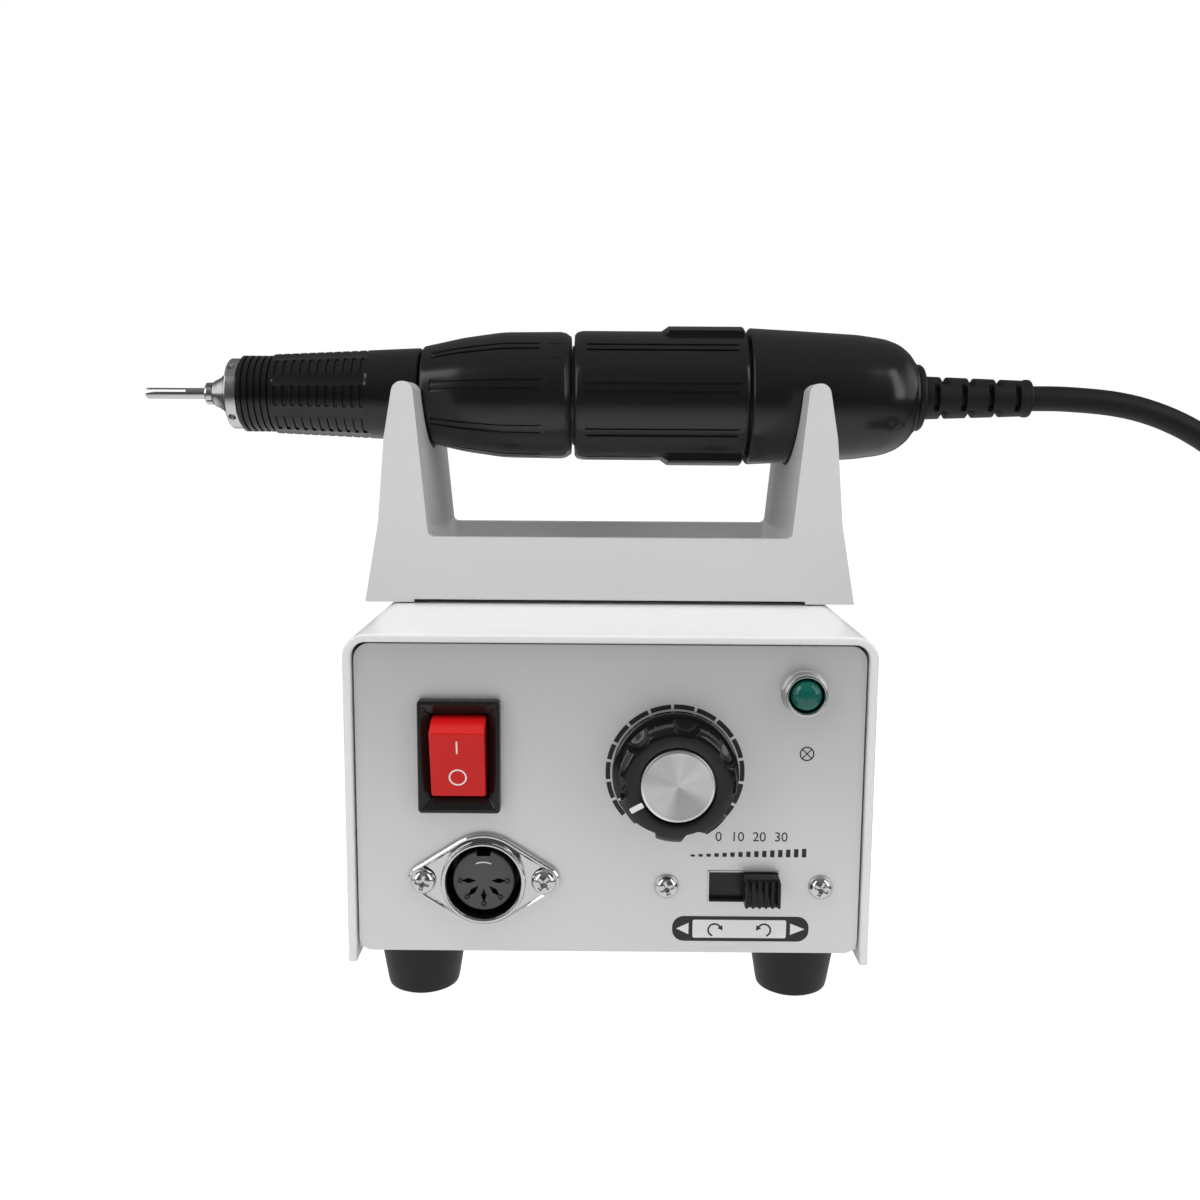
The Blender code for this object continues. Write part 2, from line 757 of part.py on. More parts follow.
def build_power_switch():
    width, height = bezel_width - 2 * switch_inset, bezel_height - 2 * switch_inset
    place = on_panel(rocker_x, rocker_z)
    bezel = plate("switch_body", [rounded(rectangle(0, 0, bezel_width, bezel_height), bezel_corner, 2)],
                  bezel_rise, on_panel(rocker_x, rocker_z, gap), "-Y", black_plastic)
    body = box("switch_case", (place[0] - width / 2, panel_y - gap - bezel_rise / 2, place[2] - height / 2),
               (place[0] + width / 2, panel_y + switch_depth, place[2] + height / 2))
    opening_width, opening_height = rocker_width / 2 + gap, rocker_radius + gap
    face = panel_y - gap - bezel_rise
    pocket = box("rocker_pocket", (place[0] - opening_width, face - overrun, place[2] - opening_height),
                 (place[0] + opening_width, panel_y + switch_depth - switch_back, place[2] + opening_height))
    cut(join(bezel, body), pocket)

    pivot = (place[0], face + rocker_pivot_depth, place[2])
    flat = math.acos(rocker_flat / rocker_radius)
    arc = [flat + (2 * math.pi - 2 * flat) * i / 24 for i in range(25)]
    outline = [(rocker_radius * math.cos(a), rocker_radius * math.sin(a)) for a in arc]
    rocker = plate("rocker_button", [outline], rocker_width,
                   (pivot[0] - rocker_width / 2, pivot[1], pivot[2]), "+X", red_plastic)
    # The flat of the drum, across its local X, looks forwards and a little down, so its top stands proud.
    normal = Vector((0, -math.cos(rocker_tilt), -math.sin(rocker_tilt)))
    along = Vector((1, 0, 0))
    rocker.rotation_euler = Matrix((normal, along.cross(normal), along)).transposed().to_euler()
    home("power_rocker_axis", pivot, rocker)


def build_lamp():
    place = on_panel(lamp_x, lamp_z)
    profile = [(lamp_ring_radius, lamp_ring_rise), (lamp_ring_radius, lamp_flange_rise),
               (lamp_flange_radius, lamp_flange_rise * lamp_edge_share), (lamp_flange_radius, gap),
               (lamp_barrel_radius, gap), (lamp_barrel_radius, -lamp_barrel_length),
               (lamp_bore, -lamp_barrel_length), (lamp_bore, lamp_ring_rise)]
    turned("lamp_bezel", profile, place, "-Y", chrome)
    lens = lamp_bore - gap
    dome = [(lens * math.sin(math.pi / 2 * i / 6),
             lamp_ring_rise - lens_crown / 2 + lens_crown * math.cos(math.pi / 2 * i / 6)) for i in range(7)]
    turned("lamp_lens", [*dome, (lens, -lamp_barrel_length), (0, -lamp_barrel_length)], place, "-Y",
           green_lens)


def build_speed_control():
    place = on_panel(knob_x, knob_z)
    shaft_bore = shaft_radius + gap
    behind = sheet + gap
    body = [(pot_radius, -behind), (pot_radius, -behind - pot_depth), (shaft_bore, -behind - pot_depth),
            (shaft_bore, bushing_length - sheet), (bushing_radius, bushing_length - sheet),
            (bushing_radius, -behind)]
    turned("pot_body", body, place, "-Y", steel)
    plate("pot_nut", [circle(0, 0, pot_nut_radius, 6), circle(0, 0, bushing_radius + gap)], pot_nut_height,
          on_panel(knob_x, knob_z, gap), "-Y", brass)
    shaft = disc("pot_shaft", shaft_radius, -behind - pot_depth + gap, shaft_show, place, "-Y", steel,
                 small_steps)

    flute = 2 * math.pi / knob_flutes
    outline = []
    for i in range(knob_flutes * 8):
        angle = flute * i / 8
        nearest = abs((angle / flute + 0.5) % 1 - 0.5) / (knob_flute_share / 2)
        sink = knob_flute_depth * (0.5 + 0.5 * math.cos(math.pi * min(nearest, 1)))
        outline.append(((knob_radius - sink) * math.cos(angle), (knob_radius - sink) * math.sin(angle)))
    knob = plate("knob_body", [outline], knob_height, on_panel(knob_x, knob_z, knob_lift), "-Y",
                 black_plastic)
    low, high = knob_lift, knob_lift + knob_skirt_height
    skirt = turned("knob_skirt", [(0, high), (knob_skirt_radius - knob_skirt_edge, high),
                                  (knob_skirt_radius, high - knob_skirt_edge),
                                  (knob_skirt_radius, low - floor_lift / 2), (0, low - floor_lift / 2)],
                   place, "-Y")
    recess = disc("knob_recess", knob_recess_radius, -overrun, knob_lift + knob_recess_depth, place, "-Y")
    bore = disc("knob_bore", shaft_radius + gap, 0, shaft_show + gap, place, "-Y", steps=small_steps)
    top = knob_lift + knob_height
    seat = disc("knob_cap_seat", cap_radius + gap, top - cap_seat, top + overrun, place, "-Y")
    cut(join(knob, skirt), recess, bore, seat)
    cap = turned("knob_cap", [(0, top + cap_rise), (cap_radius - cap_rise, top + cap_rise), (cap_radius, top),
                              (cap_radius, top - cap_seat + gap), (0, top - cap_seat + gap)], place, "-Y",
                 spun_aluminium)
    home("speed_knob_axis", place, knob, cap, shaft)


def build_socket():
    place = on_panel(socket_x, socket_z)
    ear = socket_pitch / 2
    lean = math.acos((flange_body_radius - flange_ear_radius) / ear)
    outline = []
    for x, radius, first, last in ((0, flange_body_radius, lean, math.pi - lean),
                                   (-ear, flange_ear_radius, math.pi - lean, math.pi + lean),
                                   (0, flange_body_radius, math.pi + lean, 2 * math.pi - lean),
                                   (ear, flange_ear_radius, 2 * math.pi - lean, 2 * math.pi + lean)):
        turns = [first + (last - first) * k / 8 for k in range(9)]
        outline += [(x + radius * math.cos(a), radius * math.sin(a)) for a in turns]
    holes = [circle(side * ear, 0, panel_screw_shank + gap) for side in (-1, 1)]
    inner = collar_radius - collar_wall
    flange = plate("socket_flange", [outline, *holes], flange_thick, on_panel(socket_x, socket_z, gap), "-Y",
                   chrome)
    tube = ring("socket_tube", collar_radius, inner, -socket_depth, collar_rise, place, "-Y")
    bore = disc("socket_bore", inner, -socket_depth - overrun, collar_rise + overrun, place, "-Y")
    cut(join(flange, tube), bore)

    base = inner - gap
    step = -socket_depth + insert_base
    face = collar_rise - insert_sink
    insert = turned("socket_insert", [(0, face), (insert_radius, face), (insert_radius, step), (base, step),
                                      (base, -socket_depth + gap), (0, -socket_depth + gap)], place, "-Y",
                    black_plastic)
    for k in range(contact_count):
        angle = math.pi + math.pi * k / (contact_count - 1)
        at = (place[0] + contact_circle * math.cos(angle), place[1],
              place[2] + contact_circle * math.sin(angle))
        cut(insert, disc(f"contact_{k}", contact_radius, face - contact_depth, face + overrun, at, "-Y",
                         steps=tiny_steps))
    key_low = place[2] + insert_radius - key_depth
    cut(insert, box("socket_key", (place[0] - key_width / 2, panel_y - face - overrun, key_low),
                    (place[0] + key_width / 2, panel_y - face + contact_depth, key_low + insert_radius)))
    for side, sign in (("left", -1), ("right", 1)):
        screw(f"socket_screw_{side}", panel_screw_head, panel_screw_shank, panel_screw_length,
              (place[0] + sign * ear, panel_y - gap - flange_thick, place[2]), "-Y")


def build_direction_switch():
    place = on_panel(slide_x, slide_z)
    back = panel_back + gap
    body = box("slide_switch_body", (place[0] - slide_body_width / 2, back + slide_plate / 2,
                                     place[2] - slide_body_height / 2),
               (place[0] + slide_body_width / 2, back + slide_body_depth, place[2] + slide_body_height / 2),
               steel)
    ears = slide_pitch / 2
    strip = rounded(rectangle(0, 0, slide_pitch + 4 * panel_screw_head, slide_body_height - 2 * slide_plate),
                    slide_plate, 2)
    holes = [circle(side * ears, 0, panel_screw_shank + gap) for side in (-1, 1)]
    mounting = plate("slide_mounting", [strip, *holes], slide_plate, (place[0], back + slide_plate, place[2]),
                     "-Y")
    well = box("slide_well", (place[0] - window_width / 2, back - overrun, place[2] - window_height / 2),
               (place[0] + window_width / 2, back + slide_well, place[2] + window_height / 2))
    cut(join(body, mounting), well)

    # At rest the slider stands at the right end of its window.
    height = window_height - 2 * gap
    right = place[0] + window_width / 2 - gap
    slider = box("slider_button", (right - slider_width, panel_y - slider_reach, place[2] - height / 2),
                 (right, back + slide_well - gap, place[2] + height / 2), black_plastic)
    pitch = slider_width / (slider_rib_count + 0.5)
    for k in range(slider_rib_count):
        left = right - slider_width + pitch * (k + 0.5)
        cut(slider, box(f"slider_groove_{k}", (left, panel_y - slider_reach - overrun, place[2] - height),
                        (left + pitch / 2, panel_y - slider_reach + slider_rib_depth, place[2] + height)))
    home("direction_slide_home", (right - slider_width / 2, panel_y, place[2]), slider)
    for side, sign in (("left", -1), ("right", 1)):
        screw(f"slide_screw_{side}", panel_screw_head, panel_screw_shank, panel_screw_length,
              (place[0] + sign * ears, panel_y, place[2]), "-Y")


def build_transformer():
    x, y = console_x + core_x, core_y
    low = floor_z + floor_lift + sheet + gap
    window_wide = (core_width - 2 * core_leg - core_middle) / 2
    window_tall = core_height - 2 * core_leg
    across = (core_middle + window_wide) / 2
    outline = rectangle(0, core_height / 2, core_width, core_height)
    windows = [rectangle(side * across, core_height / 2, window_wide, window_tall) for side in (-1, 1)]
    plate("transformer_core", [outline, *windows], core_depth, (x, y + core_depth / 2, low), "-Y", core_iron)
    thick = window_wide - 2 * gap
    tall = window_tall - 2 * gap
    hole = rectangle(0, 0, core_middle + 2 * gap, core_depth + 2 * gap)
    around = rounded(rectangle(0, 0, core_middle + 2 * gap + 2 * thick, core_depth + 2 * coil_overhang),
                     thick / 2, 3)
    plate("transformer_coil", [around, hole], tall, (x, y, low + core_leg + gap), "+Z", copper)


def build_board():
    x, y = console_x + board_x, board_y
    low = floor_z + floor_lift + sheet
    top = low + gap + bracket_height
    half = bracket_width / 2
    inner = half - bracket_wall
    fold = [(-half, 0), (-inner, 0), (-inner, bracket_height - bracket_wall),
            (inner, bracket_height - bracket_wall),
            (inner, 0), (half, 0), (half, bracket_height), (-half, bracket_height)]
    plate("board_bracket", [fold], bracket_length, (x, y + bracket_length / 2, low + gap), "-Y", steel)
    board_low = top + gap
    box("circuit_board", (x - board_width / 2, y - board_depth / 2, board_low),
        (x + board_width / 2, y + board_depth / 2, board_low + board_thick), board_green)
    sink_low = board_low + board_thick + gap
    sink = box("heat_sink", (x - sink_width / 2, y - sink_length / 2, sink_low),
               (x + sink_width / 2, y + sink_length / 2, sink_low + sink_height), spun_aluminium)
    slot = (sink_width - sink_fins * sink_fin_thick) / (sink_fins - 1)
    for k in range(sink_fins - 1):
        left = x - sink_width / 2 + sink_fin_thick + k * (slot + sink_fin_thick)
        cut(sink, box(f"fin_slot_{k}", (left, y - sink_length, sink_low + sink_base),
                      (left + slot, y + sink_length, sink_low + sink_height + overrun)))


def build_rear_fittings():
    place = on_rear(inlet_x, inlet_z)
    flange = rounded(rectangle(0, 0, inlet_width + 2 * inlet_flange_rim, inlet_height + 2 * inlet_flange_rim),
                     inlet_corner, 3)
    inlet = plate("mains_inlet", [flange], inlet_flange_thick, on_rear(inlet_x, inlet_z, gap), "+Y",
                  black_plastic)
    half_width, half_height = inlet_width / 2, inlet_height / 2
    body = box("inlet_body", (place[0] - half_width, rear_y - inlet_depth, place[2] - half_height),
               (place[0] + half_width, rear_y + gap + inlet_flange_thick / 2, place[2] + half_height))
    mouth = box("inlet_mouth", (place[0] - half_width + inlet_wall, rear_y - inlet_depth + inlet_wall,
                                place[2] - half_height + inlet_wall),
                (place[0] + half_width - inlet_wall, rear_y + inlet_flange_thick + overrun,
                 place[2] + half_height - inlet_wall))
    cut(join(inlet, body), mouth)
    pins = []
    for k, (across, up) in enumerate(((-inlet_pin_pitch, -inlet_pin_step), (0, inlet_pin_step),
                                      (inlet_pin_pitch, -inlet_pin_step))):
        pins.append(box(f"inlet_pin_{k}", (place[0] + across - inlet_pin_width / 2,
                                           rear_y - inlet_depth + inlet_wall / 2,
                                           place[2] + up - inlet_pin_height / 2),
                        (place[0] + across + inlet_pin_width / 2, rear_y - inlet_pin_sink,
                         place[2] + up + inlet_pin_height / 2)))
    join(inlet, *pins)

    place = on_rear(fuse_x, fuse_z)
    rim = gap + fuse_flange_thick
    profile = [(0, fuse_reach), (fuse_cap_radius - overrun / 2, fuse_reach),
               (fuse_cap_radius, fuse_reach - overrun / 2),
               (fuse_cap_radius, rim), (fuse_flange_radius, rim), (fuse_flange_radius, gap),
               (fuse_body_radius, gap), (fuse_body_radius, -fuse_body_length), (0, -fuse_body_length)]
    turned("fuse_holder", profile, place, "+Y", black_plastic, small_steps)


def saddle_outline(radius):
    """The notch for the handpiece, seen along its axis: round bottom, upright sides and a flared mouth."""
    top = horn_height - saddle_axis_height
    turns = [math.pi + math.pi * k / 12 for k in range(13)]
    arc = [(radius * math.cos(a), radius * math.sin(a)) for a in turns]
    mouth = radius + saddle_lead_in
    return [*arc, (radius, top - saddle_lead_in), (mouth + overrun, top + overrun),
            (-mouth - overrun, top + overrun), (-radius, top - saddle_lead_in)]


def cap_radius_at(along):
    """The rear cap's outer radius at a place along the handpiece."""
    stations = [cap_start] + [cap_start + cap_length * share for share, _ in cap_shares]
    radii = [cap_front_radius] + [cap_front_radius * share for _, share in cap_shares]
    return float(np.interp(along, stations, radii))


def collar_radius_at(along):
    swell = collar_start + collar_length * collar_swell_share
    return float(np.interp(along, [collar_start, swell, -joint_gap],
                           [collar_front_radius, collar_swell_radius, collar_back_radius]))


def build_cradle():
    half = cradle_width / 2
    left = [(-half * across, horn_height * up) for across, up in horn_outer_shares]
    tip = left[-1][0] + horn_tip_width
    left += [(tip, horn_height), (-tray_width / 2, wall_height)]
    corners = left + [(-x, z) for x, z in reversed(left)]
    bow = horn_height * horn_round_share
    rounds = [0, bow, bow, horn_tip_round, horn_tip_round, wall_thick / 2]
    outline = rounded(corners, rounds + rounds[::-1], 4)
    cradle = plate("cradle", [outline], cradle_depth, (console_x, cradle_y + cradle_depth / 2, cradle_base),
                   "-Y",
                   cradle_plastic)
    inner_y = cradle_depth / 2 - wall_thick
    well = box("tray_well", (console_x - tray_width / 2, cradle_y - inner_y, cradle_base + tray_floor),
               (console_x + tray_width / 2, cradle_y + inner_y, cradle_base + wall_height + overrun))
    relief = box("cradle_underside", (console_x - half * relief_share, cradle_y - cradle_depth,
                                      cradle_base - overrun),
                 (console_x + half * relief_share, cradle_y + cradle_depth, cradle_base + cradle_relief))
    # The left notch holds the collar's front end, the right one the rear cap.
    left_radius = collar_radius_at(console_x - tray_width / 2 - joint_x) + saddle_clear
    right_radius = cap_radius_at(console_x + tray_width / 2 - joint_x) + saddle_clear
    length = half - tray_width / 4
    notches = [plate(f"saddle_{side}", [saddle_outline(radius)], length,
                     (console_x + start, cradle_y, cradle_base + saddle_axis_height), "+X")
               for side, radius, start in (("left", left_radius, -half - overrun),
                                           ("right", right_radius, tray_width / 4 + overrun))]
    cut(cradle, well, relief, *notches, *cradle_screw_holes("cradle"))
    for number, x in enumerate(cradle_screw_places(), 1):
        screw(f"cradle_screw_{number}", cradle_screw_head, cradle_screw_shank, cradle_screw_length,
              (x, cradle_y, cradle_base + tray_floor), "+Z")


def along_hand(name, profile, finish, steps=round_steps):
    """A turned piece of the handpiece. Its profile's distances run from the joint of collar and motor to the lead."""
    return turned(name, profile, (joint_x, cradle_y, hand_z), "+X", finish, steps)


def build_nose():
    bore = collet_stem_radius + gap
    cone = [(bore, cone_start), (cone_front_radius, cone_start)]
    for share in cone_steps:
        cone.append((cone_front_radius + (cone_back_radius - cone_front_radius) * share ** cone_flare,
                     cone_start + cone_length * share))
    spigot_end = grip_start + nose_spigot_length
    shaft_bore = spindle_radius + 2 * gap
    spindle_front = -spindle_nose_reach - gap
    cone += [(band_radius, band_start), (band_radius, grip_start - gap),
             (nose_spigot_radius, grip_start - gap),
             (nose_spigot_radius, spigot_end), (shaft_bore, spigot_end), (shaft_bore, spindle_front),
             (bore, spindle_front)]
    return along_hand("nose_cone", cone, steel)


def build_grip():
    spigot_seat = grip_start + nose_spigot_length + gap
    socket_front = grip_end - socket_bore_length - gap
    outer = []
    x = grip_start
    for _ in range(ridge_count):
        crest = ridge_pitch * ridge_crest_share
        outer += [(grip_front_radius, x), (grip_front_radius, x + crest),
                  (grip_front_radius - ridge_depth, x + crest + gap / 2),
                  (grip_front_radius - ridge_depth, x + ridge_pitch - gap / 2)]
        x += ridge_pitch
    outer += [(grip_mid_radius, x), (grip_back_radius, grip_end - gap), (grip_back_radius - gap, grip_end)]
    inner = [(housing_spigot_radius + gap, grip_end), (housing_spigot_radius + gap, socket_front),
             (grip_bore, socket_front), (grip_bore, spigot_seat), (nose_spigot_radius + gap, spigot_seat),
             (nose_spigot_radius + gap, grip_start)]
    return along_hand("nose_grip", outer + inner, grip_finish)


def build_collar():
    swell = collar_start + collar_length * collar_swell_share
    end = -joint_gap
    bore = housing_front_radius + gap
    middle = (collar_start + swell) / 2
    profile = [(bore, collar_start), (collar_front_radius - gap, collar_start),
               (collar_front_radius, collar_start + gap),
               (collar_radius_at(middle) + gap, middle), (collar_swell_radius, swell),
               (collar_back_radius, end - 2 * collar_chamfer),
               (collar_back_radius - collar_chamfer / 3, end - collar_chamfer),
               (collar_back_radius - collar_chamfer, end), (bore, end)]
    return along_hand("lock_collar", profile, motor_plastic, fine_steps)


def build_motor():
    seat = bearing_radius + gap
    motor_bore = housing_radius - housing_wall
    motor_start = gap + housing_front_wall
    housing_end = cap_start + housing_cap_reach
    seat_start = front_bearing_start - gap
    spindle_bore = spindle_radius + 2 * gap
    housing = along_hand("motor_housing", [
        (spindle_bore, grip_end - socket_bore_length), (housing_spigot_radius, grip_end - socket_bore_length),
        (housing_spigot_radius, grip_end + gap), (housing_front_radius, grip_end + gap),
        (housing_front_radius, gap - joint_gap), (housing_neck_radius, gap - joint_gap),
                                           (housing_neck_radius, gap),
        (housing_radius, gap), (housing_radius, housing_end), (motor_bore, housing_end),
        (motor_bore, motor_start), (seat, motor_start), (seat, seat_start), (spindle_bore, seat_start)],
                         steel)
    sleeve_bore = sleeve_radius - sleeve_wall
    sleeve = along_hand("motor_sleeve", [
        (sleeve_bore, 0), (sleeve_radius - sleeve_edge, 0),
                                         (sleeve_radius - sleeve_edge / 4, sleeve_edge / 2),
        (sleeve_radius, 2 * sleeve_edge),
        (sleeve_radius, sleeve_length - sleeve_edge), (sleeve_radius - sleeve_edge / 2, sleeve_length),
        (sleeve_bore, sleeve_length)], motor_plastic, fine_steps)
    pads = along_hand("sleeve_pads", [
        (sleeve_radius - sleeve_wall / 2, pad_start), (sleeve_radius, pad_start),
        (sleeve_radius + pad_rise, pad_start + pad_slope),
        (sleeve_radius + pad_rise, sleeve_length - sleeve_edge - gap),
        (sleeve_radius, sleeve_length - gap), (sleeve_radius - sleeve_wall / 2, sleeve_length - gap)], None,
                      fine_steps)
    reach = sleeve_radius + pad_rise + overrun
    combine(pads, box("pad_strip", (joint_x, cradle_y - pad_width / 2, hand_z - reach),
                      (joint_x + sleeve_length, cradle_y + pad_width / 2, hand_z + reach)), "INTERSECT")
    join(sleeve, pads)

    magnet_start = armature_start - magnet_margin
    magnet_end = armature_start + armature_length + magnet_margin
    centre = (joint_x, cradle_y, hand_z)
    magnet = ring("stator_magnet", motor_bore - gap, magnet_inner_radius, magnet_start, magnet_end, centre,
                  "+X",
                  magnet_black)
    front = ring("front_bearing", bearing_radius, spindle_radius + gap, front_bearing_start,
                 front_bearing_start + bearing_width, centre, "+X", chrome)
    commutator_start = armature_start + armature_length
    commutator_end = commutator_start + commutator_length
    bell_start = commutator_end + gap
    bell = ring("end_bell", motor_bore - gap, bell_bearing_radius + gap, bell_start, bell_start + bell_length,
                centre, "+X", black_plastic)
    rear = ring("rear_bearing", bell_bearing_radius, spindle_radius + gap, bell_start,
                bell_start + bell_length,
                centre, "+X", chrome)
    brushes = []
    brush_middle = joint_x + (commutator_start + commutator_end) / 2
    for side, sign in (("upper", 1), ("lower", -1)):
        near, far = hand_z + sign * (commutator_radius + gap), hand_z + sign * (motor_bore - gap)
        brushes.append(box(f"carbon_brush_{side}",
                           (brush_middle - brush_length / 2, cradle_y - brush_width / 2, min(near, far)),
                           (brush_middle + brush_length / 2, cradle_y + brush_width / 2, max(near, far)),
                           carbon))
    armature = along_hand("armature", [
        (spindle_radius + gap, armature_start), (armature_radius, armature_start),
                                       (armature_radius, commutator_start - gap),
        (commutator_radius, commutator_start + gap), (commutator_radius, commutator_end - gap),
        (spindle_radius + gap, commutator_end - gap)], copper)
    return [housing, sleeve, magnet, front, bell, rear, *brushes], armature, bell_start + bell_length


def build_tail():
    outer = [(cap_front_radius - gap, cap_start), (cap_front_radius, cap_start + gap)]
    outer += [(cap_front_radius * radius, cap_start + cap_length * along) for along, radius in cap_shares]
    bore = housing_radius + gap
    hollow_end = cap_end - cap_wall
    taper_start = cap_start + cap_length * cap_shares[1][0]
    hole = gland_stem_radius + gap
    inner = [(hole, cap_end), (hole, hollow_end),
             (cap_radius_at(hollow_end) - cap_wall, hollow_end),
             (cap_radius_at(taper_start) - cap_wall, taper_start),
             (bore, cap_start + housing_cap_reach + gap), (bore, cap_start)]
    cap = along_hand("rear_cap", outer + inner, motor_plastic, fine_steps)
    stem_bore = relief_stem_radius + gap
    gland = along_hand("gland_ring", [
        (stem_bore, cap_end - gland_stem_length), (gland_stem_radius, cap_end - gland_stem_length),
        (gland_stem_radius, gland_start), (gland_radius, gland_start),
        (gland_radius, gland_start + gland_length / 2), (gland_radius - gap, gland_start + gland_length),
        (stem_bore, gland_start + gland_length)], black_rubber)

    def radius_at(along):
        return relief_front_radius + (relief_back_radius - relief_front_radius) * along / relief_length

    outer = [(0, relief_start - relief_stem_length), (relief_stem_radius, relief_start - relief_stem_length),
             (relief_stem_radius, relief_start), (relief_front_radius, relief_start)]
    for k in range(relief_grooves):
        middle = relief_groove_start + k * relief_groove_pitch
        for along, depth in ((-relief_groove_width / 2, 0), (0, relief_groove_depth),
                             (relief_groove_width / 2, 0)):
            outer.append((radius_at(middle + along) - depth, relief_start + middle + along))
    outer += [(relief_back_radius, tail_reach), (0, tail_reach)]
    relief = along_hand("strain_relief", outer, black_rubber)
    return [cap, gland, relief]


def build_spindle(armature, bell_end):
    bore_depth = collet_stem_length
    front = -spindle_nose_reach
    bore = collet_stem_radius + gap
    spindle = along_hand("spindle_shaft", [
        (bore, front), (spindle_radius, front), (spindle_radius, bell_end + overrun), (0, bell_end + overrun),
        (0, cone_start + bore_depth + gap), (bore, cone_start + bore_depth + gap)], steel)
    hold = mandrel_radius + gap
    collet = along_hand("collet_jaws", [
        (hold, collet_start), (collet_radius - gap, collet_start), (collet_radius, collet_start + gap),
        (collet_radius, cone_start - gap), (collet_stem_radius, cone_start - gap),
        (collet_stem_radius, cone_start + collet_stem_length - gap),
                                        (0, cone_start + collet_stem_length - gap),
        (0, collet_start + mandrel_hold + gap), (hold, collet_start + mandrel_hold + gap)], steel)
    tip = -nose_reach
    mandrel = along_hand("mandrel", [
        (0, tip), (mandrel_radius - gap, tip), (mandrel_radius, tip + gap),
        (mandrel_radius, collet_start + mandrel_hold), (0, collet_start + mandrel_hold)], chrome, small_steps)
    cut(mandrel, box("mandrel_slot", (joint_x + tip - overrun, cradle_y - mandrel_radius * 2, hand_z + gap),
                     (joint_x + tip + mandrel_slot_length, cradle_y + mandrel_radius * 2,
                      hand_z + gap + mandrel_slot)))
    return [spindle, armature], [collet, mandrel]


def build_handpiece():
    nose, grip, collar = build_nose(), build_grip(), build_collar()
    motor, armature, bell_end = build_motor()
    tail = build_tail()
    spindle, collet = build_spindle(armature, bell_end)
    axis = (joint_x, cradle_y, hand_z)
    home("handpiece_home", axis, nose, grip, *motor, *tail)
    home("chuck_collar_axis", axis, collar)
    home("spindle_axis", axis, *spindle)
    home("collet_home", axis, *collet)


def smooth(points, steps=tiny_steps):
    """A curve through the points, with each point's tangent along its neighbours, and its ends kept straight."""
    p = np.array(points, float)
    p = np.vstack([2 * p[0] - p[1], p, 2 * p[-1] - p[-2]])
    t = np.linspace(0, 1, steps, endpoint=False)[:, None]
    pieces = []
    for a, b, c, d in zip(p, p[1:], p[2:], p[3:]):
        pieces.append(0.5 * (2 * b + (c - a) * t + (2 * a - 5 * b + 4 * c - d) * t ** 2
                             + (3 * b - a - 3 * c + d) * t ** 3))
    return np.vstack([*pieces, p[-2]])


def evenly(points, step):
    run = np.concatenate([[0], np.cumsum(np.linalg.norm(np.diff(points, axis=0), axis=1))])
    count = max(2, round(run[-1] / step) + 1)
    at = np.linspace(0, run[-1], count)
    return np.stack([np.interp(at, run, points[:, k]) for k in range(3)], axis=1)


def coil_points():
    """The loops, counter-clockwise from above: in along the lower layer, out again on the upper one."""
    count = round(coil_turns * coil_loop_points) + 1
    turn = np.linspace(0, coil_turns, count)
    half = coil_turns / 2
    outer = coil_mean_radius + cord_turn_step * half / 2
    radius = outer - cord_turn_step * np.minimum(turn, coil_turns - turn)
    climb = np.clip((turn - half) * 2 + 0.5, 0, 1)
    z = cord_radius + cord_lift + cord_layer * climb * climb * (3 - 2 * climb)
    angle = coil_start_angle + 2 * math.pi * turn
    x, y = coil_centre()
    return np.stack([x + radius * np.cos(angle), y + radius * np.sin(angle), z], axis=1)


def cord_exit():
    return np.array([joint_x + tail_reach + gap, cradle_y, hand_z])


def coil_centre():
    exit_point = cord_exit()
    return exit_point[0] + coil_centre_from_exit[0], exit_point[1] + coil_centre_from_exit[1]


def tube(name, points, radius, resolution, finish):
    curve = bpy.data.curves.new(name, "CURVE")
    curve.dimensions = "3D"
    curve.bevel_depth = radius
    curve.bevel_resolution = resolution
    curve.use_fill_caps = True
    spline = curve.splines.new("POLY")
    spline.points.add(len(points) - 1)
    spline.points.foreach_set("co", [float(c) for p in points for c in (*p, 1)])
    return link(bpy.data.objects.new(name, curve), finish)


def least_gap(points):
    """The smallest space between stretches of the tube that lie more than four diameters apart along it."""
    run = np.concatenate([[0], np.cumsum(np.linalg.norm(np.diff(points, axis=0), axis=1))])
    apart = np.linalg.norm(points[:, None] - points[None], axis=2)
    far = np.abs(run[:, None] - run[None]) > 8 * cord_radius
    return apart[far].min() - 2 * cord_radius


def build_cord():
    loops = coil_points()
    heading = unit(loops[1] - loops[0])
    start = loops[0] - heading * 2 * cord_radius
    # The end of the last loop runs straight on and down a little, to the plug that lies beside the coil.
    away = unit(loops[-1] - loops[-2])
    level = np.array([away[0], away[1], 0])
    tail_end = loops[-1] + level * cord_tail
    tail_end[2] = plug_radius
    tail = evenly(smooth([loops[-1], loops[-1] + away * 2 * cord_radius, tail_end - level * 2 * cord_radius,
                          tail_end]),
                  cord_point_step)
    coil = np.vstack([start, loops, tail[1:]])
    lead_end = start - heading * gap
    route = [cord_exit() + np.array(step) for step in cord_route]
    route += [lead_end - heading * cord_landing_run, lead_end]
    lead = evenly(smooth(route), cord_point_step)
    tube("cord_lead", lead, cord_radius, 2, black_rubber)
    tube("cord_coil", coil, cord_radius, 1, black_rubber)
    dense = evenly(coil, cord_radius)
    length = sum(np.linalg.norm(np.diff(p, axis=0), axis=1).sum() for p in (lead, coil))
    print(f"cord: {length:.3f} m, least gap in the coil {least_gap(dense) * 1000:.2f} mm")
    build_plug(tail_end + level * gap, math.atan2(level[1], level[0]))


def unit(step):
    return step / np.linalg.norm(step)


